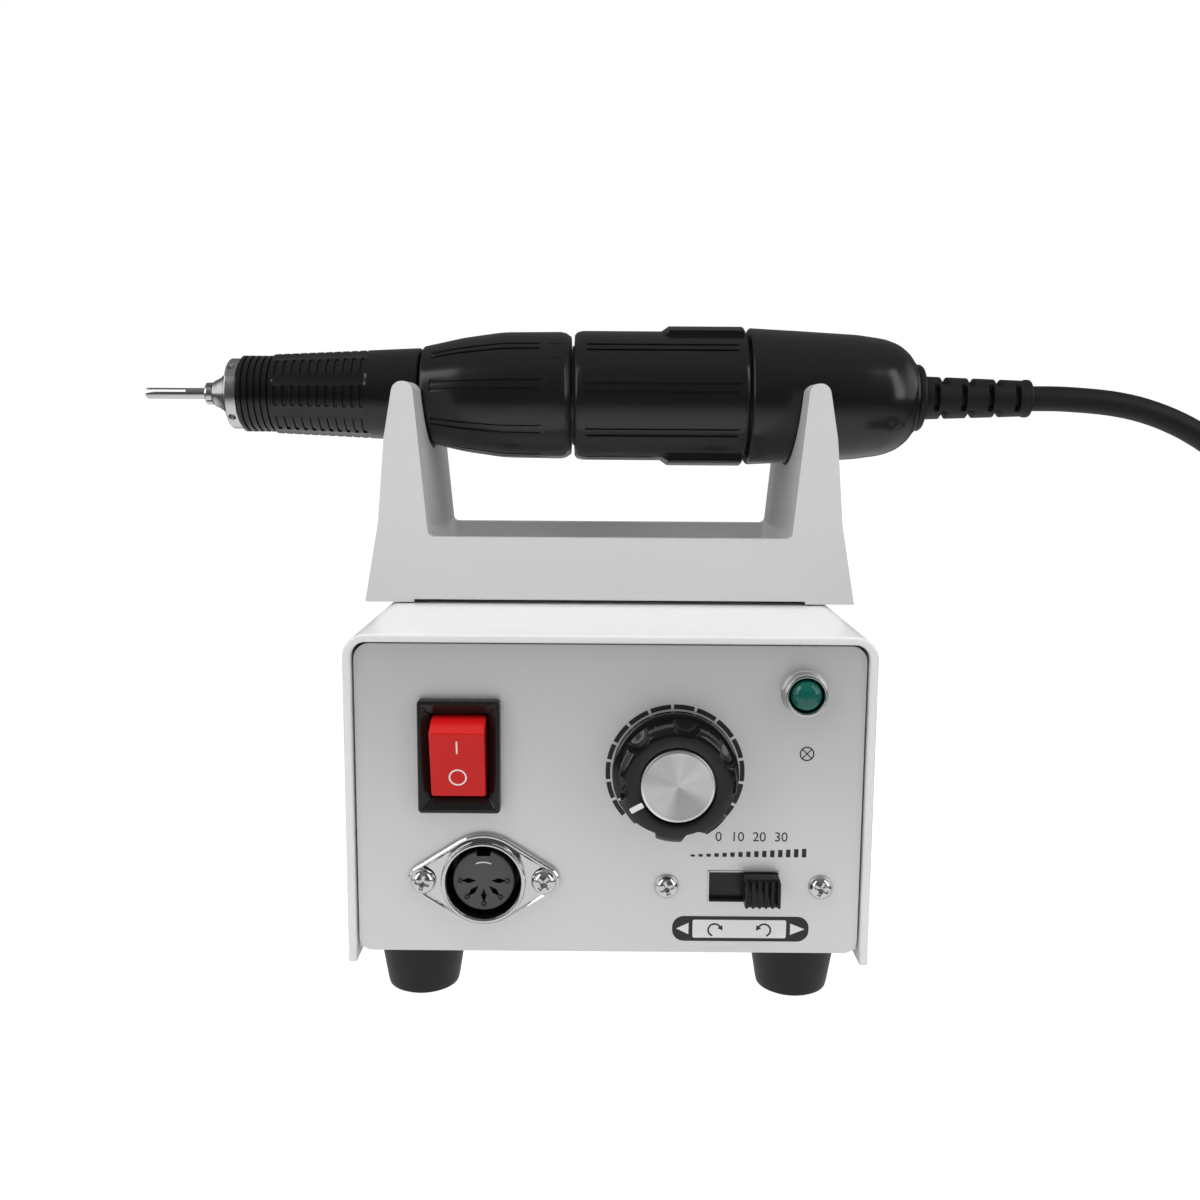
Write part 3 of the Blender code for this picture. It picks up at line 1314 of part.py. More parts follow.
def build_plug(place, angle):
    """The plug lies on the surface beside the coil, on the last straight stretch of the lead."""
    hollow = shell_radius + gap
    mouth = plug_neck_length + plug_length
    body = turned("plug_body", [
        (0, 0), (plug_neck_radius - gap, 0), (plug_neck_radius, plug_neck_length * plug_neck_share),
        (plug_waist_radius, plug_neck_length),
                                (plug_radius, plug_neck_length + plug_length * plug_waist_share),
        (plug_radius, mouth), (hollow, mouth), (hollow, mouth - shell_hold - gap),
                                (0, mouth - shell_hold - gap)],
        place, "+X", black_plastic)
    wall = shell_radius - shell_wall
    shell_end = mouth + shell_length
    shell = ring("plug_shell", shell_radius, wall, mouth - shell_hold, shell_end, place, "+X", chrome)
    pins = disc("plug_pins", wall - gap, mouth - shell_hold, mouth + pin_base, place, "+X", black_plastic)
    for piece in (body, shell, pins):
        aim(piece, angle)
    for k in range(contact_count):
        turn = math.pi + math.pi * k / (contact_count - 1)
        across, up = contact_circle * math.cos(turn), contact_circle * math.sin(turn)
        at = place + np.array([-math.sin(angle) * across, math.cos(angle) * across, up])
        pin = disc(f"plug_pin_{k}", pin_radius, mouth + pin_base / 2, mouth + pin_length, at, "+X",
                   steps=tiny_steps)
        aim(pin, angle)
        join(pins, pin)


def aim(piece, angle):
    """Turns a piece that lies along +X about the vertical, to the plug's heading."""
    piece.rotation_euler[2] += angle


build_cover()
build_chassis()
build_feet()
build_case_screws()
build_power_switch()
build_lamp()
build_speed_control()
build_socket()
build_direction_switch()
build_transformer()
build_board()
build_rear_fittings()
build_cradle()
build_handpiece()
build_cord()

for piece in machine.objects:
    if piece.type == "MESH":
        piece.data.shade_smooth()
        piece.data.set_sharp_from_angle(angle=math.radians(35))
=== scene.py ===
import math

import bmesh
import bpy
import numpy as np
from mathutils import Matrix, Vector
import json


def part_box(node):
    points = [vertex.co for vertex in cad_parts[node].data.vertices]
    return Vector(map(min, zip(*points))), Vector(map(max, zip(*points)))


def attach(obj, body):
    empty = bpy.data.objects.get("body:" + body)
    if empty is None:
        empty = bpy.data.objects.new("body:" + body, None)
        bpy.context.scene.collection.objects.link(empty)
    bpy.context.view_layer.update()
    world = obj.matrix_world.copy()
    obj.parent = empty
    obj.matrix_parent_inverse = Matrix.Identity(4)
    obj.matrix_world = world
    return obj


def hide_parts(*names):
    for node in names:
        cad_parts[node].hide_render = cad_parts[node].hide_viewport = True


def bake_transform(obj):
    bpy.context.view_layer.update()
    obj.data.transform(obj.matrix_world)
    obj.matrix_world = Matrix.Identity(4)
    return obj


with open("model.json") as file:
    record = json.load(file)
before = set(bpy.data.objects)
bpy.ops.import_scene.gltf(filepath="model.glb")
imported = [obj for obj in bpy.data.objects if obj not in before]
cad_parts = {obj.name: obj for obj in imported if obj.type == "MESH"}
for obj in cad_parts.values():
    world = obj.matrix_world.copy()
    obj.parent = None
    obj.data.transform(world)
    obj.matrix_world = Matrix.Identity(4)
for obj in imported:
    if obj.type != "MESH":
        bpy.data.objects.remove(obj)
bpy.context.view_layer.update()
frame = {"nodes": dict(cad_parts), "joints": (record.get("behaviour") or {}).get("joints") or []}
nodes, joints = frame["nodes"], {joint["name"]: joint for joint in frame["joints"]}
mm = 0.001
fit = 0.3 * mm  # the room that the solids leave between neighbours


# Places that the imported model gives
handAxis = np.array(joints["chuck_ring_turn"]["pos_m"])
knobCentre = np.array(joints["speed_knob_turn"]["pos_m"])
rockerPivot = np.array(joints["power_rocker_tilt"]["pos_m"])
panelFace = knobCentre[1]


def boxOf(node):
    low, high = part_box(node)
    return np.array(low), np.array(high)


def middleOf(node):
    return sum(boxOf(node)) / 2


# Shapes worked out as whole arrays

def smoothStep(value, low=0.0, high=1.0):
    # 0 below low, 1 above high, and a cubic ramp between them
    t = np.clip((np.asarray(value, float) - low) / (high - low), 0, 1)
    return t * t * (3 - 2 * t)


def angleApart(angle, centre):
    # the signed distance between two angles, in -180 to 180 degrees
    return (np.asarray(angle) - centre + 180) % 360 - 180


def filleted(corners, radii, closed=False, steps=5):
    # the polyline through the corners, each turned into an arc that touches both of its sides
    corners = np.asarray(corners, float)
    radii = np.broadcast_to(radii, len(corners))
    points = []
    for i, here in enumerate(corners):
        atEnd = not closed and i in (0, len(corners) - 1)
        if atEnd or radii[i] <= 0:
            points.append(here[None])
            continue
        before, after = corners[i - 1] - here, corners[(i + 1) % len(corners)] - here
        reach = min(np.linalg.norm(before), np.linalg.norm(after)) * 0.49
        before, after = before / np.linalg.norm(before), after / np.linalg.norm(after)
        half = math.acos(float(np.clip(before @ after, -1, 1))) / 2
        if half > 1.56:
            points.append(here[None])
            continue
        run = min(radii[i] / math.tan(half), reach)
        middle = (before + after) / np.linalg.norm(before + after)
        centre = here + middle * run / math.cos(half)
        first, last = here + before * run - centre, here + after * run - centre
        sweep = math.atan2(first[0] * last[1] - first[1] * last[0], first @ last)
        turn = np.linspace(0, sweep, steps + 1)
        points.append(np.stack([centre[0] + np.cos(turn) * first[0] - np.sin(turn) * first[1],
                                centre[1] + np.sin(turn) * first[0] + np.cos(turn) * first[1]], axis=1))
    return np.vstack(points)


def denser(points, longest, closed=False):
    # straight stretches longer than this are divided evenly, and each long one keeps a point near both ends
    points = np.vstack([points, points[:1]]) if closed else points
    pieces = []
    for a, b in zip(points[:-1], points[1:]):
        length = np.linalg.norm(b - a)
        count = max(1, int(math.ceil(length / longest)))
        at = np.linspace(0, 1, count, endpoint=False)
        edge = min(0.12 * mm / length, 0.2) if length > 0 else 0
        if count > 1 or length > 0.6 * mm:
            at = np.unique(np.concatenate([at, [edge, 1 - edge]]))
        pieces.append(a + (b - a) * at[:, None])
    if not closed:
        pieces.append(points[-1:])
    return np.vstack(pieces)


def inMetres(rings):
    return [tuple(v * mm for v in ring) for ring in rings]


def inset(outline, distance):
    # moves a closed outline's points inwards along their normals, for an outline that runs counter-clockwise
    step = np.roll(outline, -1, axis=0) - np.roll(outline, 1, axis=0)
    step /= np.maximum(np.linalg.norm(step, axis=1, keepdims=True), 1e-12)
    return outline + np.stack([-step[:, 1], step[:, 0]], axis=1) * distance


def ringOf(halfWide, halfTall, radius, steps=6):
    # a rounded rectangle round the origin, counter-clockwise, with the same count of points for any size
    radius = min(radius, halfWide, halfTall)
    turn = np.linspace(0, math.pi / 2, steps + 1)
    parts = []
    for quarter, (sx, sy) in enumerate(((1, 1), (-1, 1), (-1, -1), (1, -1))):
        a = turn + quarter * math.pi / 2
        parts.append(np.stack([sx * (halfWide - radius) + radius * np.cos(a),
                               sy * (halfTall - radius) + radius * np.sin(a)], axis=1))
    return np.vstack(parts)


def gridMesh(name, grid, rowsClosed=False, capFirst=False, capLast=False):
    # quads between the rows of points, each row a closed ring, with poles joined to one point and ends capped
    rows, columns = grid.shape[:2]
    index = np.arange(rows * columns).reshape(rows, columns)
    for row in (0, rows - 1):
        if np.ptp(grid[row], axis=0).max() < 1e-9:
            index[row] = index[row, 0]
    a = index if rowsClosed else index[:-1]
    b = np.roll(index, -1, axis=0) if rowsClosed else index[1:]
    quads = np.stack([a, np.roll(a, -1, axis=1), np.roll(b, -1, axis=1), b], axis=2).reshape(-1, 4)
    lowPole, highPole = quads[:, 0] == quads[:, 1], quads[:, 2] == quads[:, 3]
    faces = quads[~(lowPole | highPole)].tolist()
    faces += quads[lowPole & ~highPole][:, [0, 2, 3]].tolist() + quads[highPole & ~lowPole][:, [0, 1, 2]].tolist()
    if capFirst:
        faces.append(index[0, ::-1].tolist())
    if capLast:
        faces.append(index[-1].tolist())
    points = grid.reshape(-1, 3)
    used = np.unique(index)
    place = np.zeros(rows * columns, int)
    place[used] = np.arange(len(used))
    corner = points[quads] - points.mean(axis=0)
    volume = np.einsum("ij,ij->i", corner[:, 0], np.cross(corner[:, 1], corner[:, 2])).sum()
    volume += np.einsum("ij,ij->i", corner[:, 0], np.cross(corner[:, 2], corner[:, 3])).sum()
    turned = slice(None, None, -1 if volume < 0 else 1)
    mesh = bpy.data.meshes.new(name)
    mesh.from_pydata(points[used].tolist(), [], [place[face][turned].tolist() for face in faces])
    return mesh


def makePiece(name, mesh, finish, body, replaced=(), sharpAngle=40):
    obj = bpy.data.objects.new(name, mesh)
    bpy.context.scene.collection.objects.link(obj)
    for material in finish if isinstance(finish, (list, tuple)) else [finish]:
        mesh.materials.append(material)
    mesh.shade_smooth()
    mesh.set_sharp_from_angle(angle=math.radians(sharpAngle))
    mesh.update()
    if body:
        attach(obj, body)
    if replaced:
        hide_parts(*replaced)
    return obj


axes = {  # how a shape's own (across, up, out) lies in the world
    "front": np.array([[1, 0, 0], [0, 0, 1], [0, -1, 0]], float),
    "rear": np.array([[-1, 0, 0], [0, 0, 1], [0, 1, 0]], float),
    "left": np.array([[0, -1, 0], [0, 0, 1], [-1, 0, 0]], float),
    "right": np.array([[0, 1, 0], [0, 0, 1], [1, 0, 0]], float),
    "top": np.array([[1, 0, 0], [0, 1, 0], [0, 0, 1]], float),
}


def laid(points, place, facing):
    return np.asarray(place) + points @ (axes[facing] if isinstance(facing, str) else facing)


def turnedGrid(profile, columns, relief=None):
    # the profile is (radius, along); the radius at a place and an angle is lessened by the relief there
    angle = np.arange(columns) * 360 / columns if np.isscalar(columns) else np.asarray(columns)
    radius = np.repeat(profile[:, :1], len(angle), axis=1)
    along = np.repeat(profile[:, 1:], len(angle), axis=1)
    if relief is not None:
        radius = radius - relief(along, angle[None], radius) * (radius > 1e-9)
    turn = np.radians(angle)[None]
    return np.stack([radius * np.cos(turn), radius * np.sin(turn), along], axis=2)


def turnedMesh(name, profile, place, facing, columns=96, relief=None, closed=False):
    grid = turnedGrid(profile, columns, relief)
    return gridMesh(name, laid(grid, place, facing), rowsClosed=closed)


def prismMesh(name, outline, low, high, edge, place, facing, steps=3, lowEdge=True):
    # an outline carried along its normal, drawn in along a quarter round at both of its ends
    # and a hair further in, so that the flat end stays flat in its shading
    turn, hair = np.linspace(0, math.pi / 2, steps + 1), 0.03 * mm
    rows = [(edge * (1 - math.sin(t)), low + edge * (1 - math.cos(t))) for t in turn] if lowEdge else [(0, low)]
    rows = [(edge + hair, low)] * lowEdge + rows
    rows += [(edge * (1 - math.cos(t)), high - edge * (1 - math.sin(t))) for t in turn] + [(edge + hair, high)]
    grid = np.stack([np.column_stack([inset(outline, i), np.full(len(outline), h)]) for i, h in rows])
    return gridMesh(name, laid(grid, place, facing), capFirst=True, capLast=True)


def loftMesh(name, rings, place, facing, closed=False):
    # rounded rectangles (half width, half height, corner, out) joined one after the other
    grid = np.stack([np.column_stack([ringOf(w, h, r), np.full(28, out)]) for w, h, r, out in rings])
    return gridMesh(name, laid(grid, place, facing), rowsClosed=closed, capFirst=not closed, capLast=not closed)


def joinMeshes(name, meshes, slots=None):
    # several shells become one mesh, each with the material slot given
    together = bmesh.new()
    for number, mesh in enumerate(meshes):
        first = len(together.faces)
        together.from_mesh(mesh)
        together.faces.ensure_lookup_table()
        for face in together.faces[first:]:
            face.material_index = slots[number] if slots else 0
        bpy.data.meshes.remove(mesh)
    made = bpy.data.meshes.new(name)
    together.to_mesh(made)
    together.free()
    return made


def cutMesh(base, cutters, name):
    # takes the cutters' meshes out of the base with exact booleans
    scene = bpy.context.scene
    body = bpy.data.objects.new(name, base)
    scene.collection.objects.link(body)
    tools = []
    for number, cutter in enumerate(cutters):
        tool = bpy.data.objects.new(f"{name}Cutter{number}", cutter)
        scene.collection.objects.link(tool)
        tools.append(tool)
        change = body.modifiers.new("cut", "BOOLEAN")
        change.operation, change.object, change.solver = "DIFFERENCE", tool, "EXACT"
    graph = bpy.context.evaluated_depsgraph_get()
    made = bpy.data.meshes.new_from_object(body.evaluated_get(graph))
    for obj in [body, *tools]:
        old = obj.data
        bpy.data.objects.remove(obj, do_unlink=True)
        bpy.data.meshes.remove(old)
    made.name = name
    return made


# Shader maths

class Wire:
    # wraps a socket, so that expressions on values add their Math nodes

    def __init__(self, tree, socket=None):
        self.tree, self.socket = tree, socket

    def add(self, kind, settings=None, inputs=None, out=0):
        node = self.tree.nodes.new("ShaderNode" + kind)
        for key, value in (settings or {}).items():
            if key == "stops":
                ramp = node.color_ramp
                while len(ramp.elements) < len(value):
                    ramp.elements.new(0.5)
                for element, (position, level) in zip(ramp.elements, value):
                    element.position = position
                    element.color = (*level, 1) if isinstance(level, tuple) else (level, level, level, 1)
            else:
                setattr(node, key, value)
        for key, value in (inputs or {}).items():
            if isinstance(value, Wire):
                self.tree.links.new(value.socket, node.inputs[key])
            else:
                node.inputs[key].default_value = value
        return Wire(self.tree, node.outputs[out])

    def maths(self, operation, *values):
        return self.add("Math", {"operation": operation}, dict(enumerate(values)))

    def __add__(self, other):
        return self.maths("ADD", self, other)

    def __sub__(self, other):
        return self.maths("SUBTRACT", self, other)

    def __rsub__(self, other):
        return self.maths("SUBTRACT", other, self)

    def __mul__(self, other):
        return self.maths("MULTIPLY", self, other)

    def __truediv__(self, other):
        return self.maths("DIVIDE", self, other)

    __radd__, __rmul__ = __add__, __mul__

    def clamp(self, low=0.0, high=1.0):
        return self.maths("MAXIMUM", self, low).maths("MINIMUM", self.maths("MAXIMUM", self, low), high)

    def above(self, limit):
        return self.maths("GREATER_THAN", self, limit)

    def mixColour(self, first, second):
        # self is the share of the second colour
        inputs = {"Factor": self, 6: first if isinstance(first, Wire) else (*first, 1),
                  7: second if isinstance(second, Wire) else (*second, 1)}
        return self.add("Mix", {"data_type": "RGBA"}, inputs, out=2)

    def place(self):
        return self.add("TexCoord", out=3)

    def noise(self, scale, detail=2.0, stretch=None, roughness=0.5):
        where = self.place()
        if stretch:
            where = self.add("Mapping", {}, {"Vector": where, "Scale": stretch})
        return self.add("TexNoise", {}, {"Vector": where, "Scale": scale, "Detail": detail, "Roughness": roughness})

    def bump(self, height, strength, distance=0.0002):
        return self.add("Bump", {}, {"Strength": strength, "Distance": distance, "Height": height})


def newFinish(name, recipe):
    # the recipe gets a bare wire and returns what goes into the shader's sockets
    material = bpy.data.materials.new(name)
    material.use_nodes = True
    tree = material.node_tree
    shader = tree.nodes["Principled BSDF"]
    for socket, value in recipe(Wire(tree)).items():
        if isinstance(value, Wire):
            tree.links.new(value.socket, shader.inputs[socket])
        else:
            shader.inputs[socket].default_value = (*value, 1) if isinstance(value, tuple) else value
    return material


def enamel(colour, gloss, peel, coat=0.0, sheen=0.0):
    # stoved paint: faint drift of tone, fine orange peel, gloss that varies a little, a share of metal flake
    def recipe(pen):
        drift = pen.noise(28, 3)
        tone = pen.noise(900, 2)
        return {
            "Base Color": drift.mixColour(tuple(c * 0.985 for c in colour), tuple(min(1, c * 1.015) for c in colour)),
            "Roughness": gloss + (tone - 0.5) * 0.05 + (drift - 0.5) * 0.04,
            "Normal": pen.bump(tone, peel, 0.00008),
            "Coat Weight": coat, "Coat Roughness": 0.12, "Specular IOR Level": 0.5, "Metallic": sheen,
        }
    return recipe


def moulding(colour, gloss, grain, grainSize=1600, specular=0.5, lift=1.5):
    # moulded plastic or rubber: fine spark-eroded grain, cloudy gloss, faint dust
    def recipe(pen):
        cloud = pen.noise(60, 4)
        fine = pen.noise(grainSize, 2)
        return {
            "Base Color": cloud.mixColour(colour, tuple(c * lift for c in colour)),
            "Roughness": gloss + (cloud - 0.5) * 0.1 + (fine - 0.5) * 0.08,
            "Normal": pen.bump(fine, grain, 0.00006),
            "Specular IOR Level": specular,
        }
    return recipe


def metal(colour, gloss, brush, stretch, brushScale=900, streak=0.1):
    # polished or brushed metal: fine lines along one way in gloss and bump, slight tone change
    def recipe(pen):
        lines = pen.noise(brushScale, 3, stretch)
        cloud = pen.noise(90, 3)
        return {
            "Base Color": cloud.mixColour(tuple(c * 0.94 for c in colour), colour),
            "Metallic": 1.0,
            "Roughness": gloss + (lines - 0.5) * streak + (cloud - 0.5) * 0.06,
            "Normal": pen.bump(lines, brush, 0.00005),
        }
    return recipe


def spunFace(pen):
    # turning lines round the knob's middle, whose height changes only with the distance from its axis,
    # and painted reflection: light and dark wedges put into the base colour, which change only with the angle, in place
    # of the highlights that such a spun face shows under light
    place = pen.place()
    apart = pen.add("VectorMath", {"operation": "SUBTRACT"}, {0: place, 1: tuple(knobCentre)})
    flat = pen.add("VectorMath", {"operation": "MULTIPLY"}, {0: apart, 1: (1, 0, 1)})
    radius = pen.add("VectorMath", {"operation": "LENGTH"}, {0: flat}, out=1)
    lines = pen.add("TexNoise", {"noise_dimensions": "1D"}, {"W": radius, "Scale": 9000.0, "Detail": 3.0})
    across = pen.add("SeparateXYZ", {}, {"Vector": flat})
    up = pen.add("SeparateXYZ", {}, {"Vector": flat}, out=2)
    angle = up.maths("ARCTAN2", up, across)
    # painted highlights: these wedges brighten and darken the metal's colour by angle round the axis
    paintedWedges = 0.5 + 0.28 * angle.maths("COSINE", angle * 2 - 1.1) + 0.16 * angle.maths("COSINE", angle * 3 + 0.7)
    paintedWedges = paintedWedges + 0.1 * angle.maths("COSINE", angle * 7 + 1.9)
    return {
        "Base Color": paintedWedges.clamp().mixColour((0.60, 0.60, 0.60), (0.99, 0.99, 0.99)),
        "Metallic": 1.0,
        "Roughness": 0.3 + lines * 0.16,
        "Normal": pen.bump(lines, 0.3, 0.00005),
    }


def winding(pen):
    lines = pen.add("TexWave", {"bands_direction": "Z"}, {"Vector": pen.place(), "Scale": 700.0, "Distortion": 0.6})
    return {"Base Color": lines.mixColour((0.30, 0.10, 0.03), (0.72, 0.33, 0.14)), "Metallic": 0.9,
            "Roughness": 0.35 + lines * 0.15, "Normal": pen.bump(lines, 0.7, 0.0002)}


def laminate(pen):
    lines = pen.add("TexWave", {"bands_direction": "Y"}, {"Vector": pen.place(), "Scale": 320.0})
    return {"Base Color": lines.mixColour((0.10, 0.10, 0.11), (0.30, 0.30, 0.32)), "Metallic": 0.8,
            "Roughness": 0.4 + lines * 0.2, "Normal": pen.bump(lines, 0.6, 0.0002)}


def boardMask(pen):
    cells = pen.add("TexVoronoi", {"feature": "DISTANCE_TO_EDGE"}, {"Vector": pen.place(), "Scale": 260.0})
    tracks = cells.maths("LESS_THAN", cells, 0.05)
    return {"Base Color": tracks.mixColour((0.01, 0.12, 0.05), (0.05, 0.26, 0.10)), "Roughness": 0.45 - tracks * 0.1,
            "Normal": pen.bump(tracks, 0.3, 0.00008)}


finishes = {
    "coverPaint": newFinish("coverPaint", enamel((0.82, 0.82, 0.82), 0.24, 0.05, 0.3)),
    "panelPaint": newFinish("panelPaint", enamel((0.74, 0.74, 0.74), 0.36, 0.05, sheen=0.55)),
    "cradlePlastic": newFinish("cradlePlastic", enamel((0.70, 0.70, 0.705), 0.2, 0.01)),
    "rubber": newFinish("rubber", moulding((0.006, 0.006, 0.006), 0.5, 0.12, specular=0.35)),
    "blackPlastic": newFinish("blackPlastic", moulding((0.007, 0.007, 0.007), 0.26, 0.06, specular=0.4)),
    "insertPlastic": newFinish("insertPlastic", moulding((0.052, 0.053, 0.053), 0.34, 0.05)),
    "knobPlastic": newFinish("knobPlastic", moulding((0.004, 0.004, 0.004), 0.13, 0.01)),
    "gripFinish": newFinish("gripFinish", moulding((0.005, 0.005, 0.0055), 0.18, 0.02)),
    "motorPlastic": newFinish("motorPlastic", moulding((0.006, 0.006, 0.0065), 0.2, 0.02)),
    "redPlastic": newFinish("redPlastic", moulding((0.56, 0.007, 0.007), 0.2, 0.02, specular=0.3, lift=1.12)),
    "greenLens": newFinish("greenLens", moulding((0.004, 0.085, 0.065), 0.05, 0.01, lift=1.4)),
    "chrome": newFinish("chrome", metal((0.68, 0.68, 0.68), 0.07, 0.02, (1, 1, 1), streak=0.04)),
    "steel": newFinish("steel", metal((0.66, 0.66, 0.66), 0.2, 0.05, (1, 1, 1))),
    "turnedSteel": newFinish("turnedSteel", metal((0.68, 0.68, 0.69), 0.2, 0.25, (8, 0.4, 0.4))),
    "aluminium": newFinish("aluminium", metal((0.75, 0.75, 0.76), 0.32, 0.1, (1, 1, 0.2))),
    "spunFace": newFinish("spunFace", spunFace),
    "winding": newFinish("winding", winding),
    "laminate": newFinish("laminate", laminate),
    "board": newFinish("board", boardMask),
    "magnet": newFinish("magnet", metal((0.09, 0.09, 0.10), 0.45, 0.3, (1, 1, 1))),
    "carbon": newFinish("carbon", moulding((0.03, 0.03, 0.03), 0.55, 0.3)),
    "brass": newFinish("brass", metal((0.72, 0.53, 0.22), 0.22, 0.08, (1, 1, 1))),
    "blackInk": newFinish("blackInk", moulding((0.012, 0.012, 0.012), 0.42, 0.05)),
    "whiteInk": newFinish("whiteInk", moulding((0.80, 0.80, 0.79), 0.4, 0.05, lift=1.03)),
}
print("finishes ready")

# What stays as the solids show it, in finishes of its own
carriedOver = {
    "chassis": "panelPaint", "transformer_core": "laminate", "transformer_coil": "winding", "circuit_board": "board",
    "board_bracket": "steel", "heat_sink": "aluminium", "pot_body": "steel", "pot_nut": "brass", "pot_shaft": "steel",
    "motor_housing": "magnet", "front_bearing": "chrome", "rear_bearing": "chrome", "end_bell": "blackPlastic",
    "stator_magnet": "magnet", "carbon_brush_upper": "carbon", "carbon_brush_lower": "carbon",
    "spindle_shaft": "turnedSteel", "armature": "winding", "slide_switch_body": "steel",
}


def dressNode(node, finish):
    mesh = nodes[node].data
    mesh.materials.clear()
    mesh.materials.append(finishes[finish])


for node, finish in carriedOver.items():
    dressNode(node, finish)
print("carried-over nodes dressed")


# Camera, floor and light

cameraSettings = {
    "place": (0.0038, -0.27735, 0.10868), "yaw": -0.00234, "pitchDown": 0.14313, "roll": 0.0065,
    "focalPixels": 1229.6, "framePixels": 1200, "sensor": 36.0,
}


def makeCamera(s):
    data = bpy.data.cameras.new("photoCamera")
    data.sensor_width = s["sensor"]
    data.lens = s["sensor"] * s["focalPixels"] / s["framePixels"]
    data.clip_start, data.clip_end = 0.01, 50
    camera = bpy.data.objects.new("photoCamera", data)
    yaw, pitch, roll = s["yaw"], s["pitchDown"], s["roll"]
    right = Vector((math.cos(yaw), -math.sin(yaw), 0))
    ahead = Vector((math.sin(yaw) * math.cos(pitch), math.cos(yaw) * math.cos(pitch), -math.sin(pitch)))
    up = right.cross(ahead)
    tiltedRight = right * math.cos(roll) + up * math.sin(roll)
    tiltedUp = up * math.cos(roll) - right * math.sin(roll)
    camera.matrix_world = Matrix.Translation(s["place"]) @ Matrix((tiltedRight, tiltedUp, -ahead)).transposed().to_4x4()
    bpy.context.scene.collection.objects.link(camera)
    bpy.context.scene.camera = camera


stageSettings = {
    "floorHalf": 6.0, "floorTone": 0.85, "floorGlow": 0.82, "floorShine": 1.22, "floorFill": 0.30,
    # what shiny surfaces see: the white table near the object, a dim room, a lighter ceiling and white side walls
    "tableShine": 0.85, "tableEnds": (0.16, 0.55), "roomShine": 0.07, "ceilingShine": 0.22, "sideShine": 0.85,
    "sideFrom": 0.72, "sideTo": 0.92, "ambient": 0.28,
    "lamps": (  # name, place, aims at, width, height, power in watts, whether shiny surfaces show it
        ("overhead", (0.0, -0.12, 0.95), (0.0, 0.0, 0.05), 1.0, 0.7, 7.6, False),
        ("frontLeft", (-0.80, -0.70, 0.55), (0.0, 0.0, 0.07), 0.32, 1.0, 2.6, True),
        ("frontRight", (0.80, -0.60, 0.50), (0.0, 0.0, 0.07), 0.28, 0.9, 2.0, True),
        ("behind", (0.0, 0.95, 0.55), (0.0, 0.0, 0.08), 1.0, 0.5, 1.5, False),
    ),
}


def stagePlane(name, corners, shade):
    mesh = bpy.data.meshes.new(name)
    mesh.from_pydata(corners, [], [(0, 1, 2, 3)])
    plane = bpy.data.objects.new(name, mesh)
    bpy.context.scene.collection.objects.link(plane)
    material = bpy.data.materials.new(name + "Paint")
    material.use_nodes = True
    tree = material.node_tree
    tree.nodes.clear()
    output = tree.nodes.new("ShaderNodeOutputMaterial")
    tree.links.new(shade(Wire(tree)).socket, output.inputs["Surface"])
    mesh.materials.append(material)


def rayShares(pen):
    # 1 for a ray straight from the camera or through glass, and 1 for a reflected ray
    path = pen.add("LightPath")
    node = path.socket.node
    direct = (path + Wire(pen.tree, node.outputs["Is Transmission Ray"])).clamp()
    return direct, Wire(pen.tree, node.outputs["Is Glossy Ray"])


def makeStage(s):
    def floorShade(pen):
        direct, mirrored = rayShares(pen)
        apart = pen.add("VectorMath", {"operation": "LENGTH"}, {0: pen.place()}, out=1)
        start, end = s["tableEnds"]
        near = 1 - ((apart - start) / (end - start)).clamp()
        shine = s["roomShine"] + near * near * (s["tableShine"] - s["roomShine"])
        other = 1 - direct - mirrored
        share = direct * s["floorGlow"] + mirrored + other * s["floorFill"]
        diffuse = pen.add("BsdfDiffuse", {}, {"Color": (s["floorTone"],) * 3 + (1,)})
        strength = direct * s["floorShine"] + mirrored * shine + other
        glow = pen.add("Emission", {}, {"Color": (1, 1, 1, 1), "Strength": strength})
        return pen.add("MixShader", {}, {0: share, 1: diffuse, 2: glow})

    h = s["floorHalf"]
    stagePlane("floor", [(-h, -h, 0), (h, -h, 0), (h, h, 0), (-h, h, 0)], floorShade)

    world = bpy.data.worlds.new("studio")
    bpy.context.scene.world = world
    world.use_nodes = True
    tree = world.node_tree
    tree.nodes.clear()
    pen = Wire(tree)
    direct, mirrored = rayShares(pen)
    up = pen.add("SeparateXYZ", {}, {"Vector": pen.add("TexCoord")}, out=2)
    across = pen.add("SeparateXYZ", {}, {"Vector": pen.add("TexCoord")})
    aside = ((across.maths("ABSOLUTE", across) - s["sideFrom"]) / (s["sideTo"] - s["sideFrom"])).clamp()
    shine = s["roomShine"] + up.clamp() * (s["ceilingShine"] - s["roomShine"]) + aside * s["sideShine"]
    level = direct + mirrored * shine + (1 - direct - mirrored) * s["ambient"]
    sky = pen.add("Background", {}, {"Color": (1, 1, 1, 1), "Strength": level})
    output = tree.nodes.new("ShaderNodeOutputWorld")
    tree.links.new(sky.socket, output.inputs["Surface"])

    for name, place, target, width, height, power, mirroredToo in s["lamps"]:
        data = bpy.data.lights.new(name, "AREA")
        data.shape, data.size, data.size_y, data.energy = "RECTANGLE", width, height, power
        lamp = bpy.data.objects.new(name, data)
        lamp.location = place
        lamp.rotation_euler = (Vector(target) - Vector(place)).to_track_quat("-Z", "Y").to_euler()
        lamp.visible_camera, lamp.visible_glossy = False, mirroredToo
        bpy.context.scene.collection.objects.link(lamp)


makeCamera(cameraSettings)
makeStage(stageSettings)
bpy.context.scene.view_settings.view_transform = "Standard"
print("camera and stage ready")


# The lead, its coil and its plug

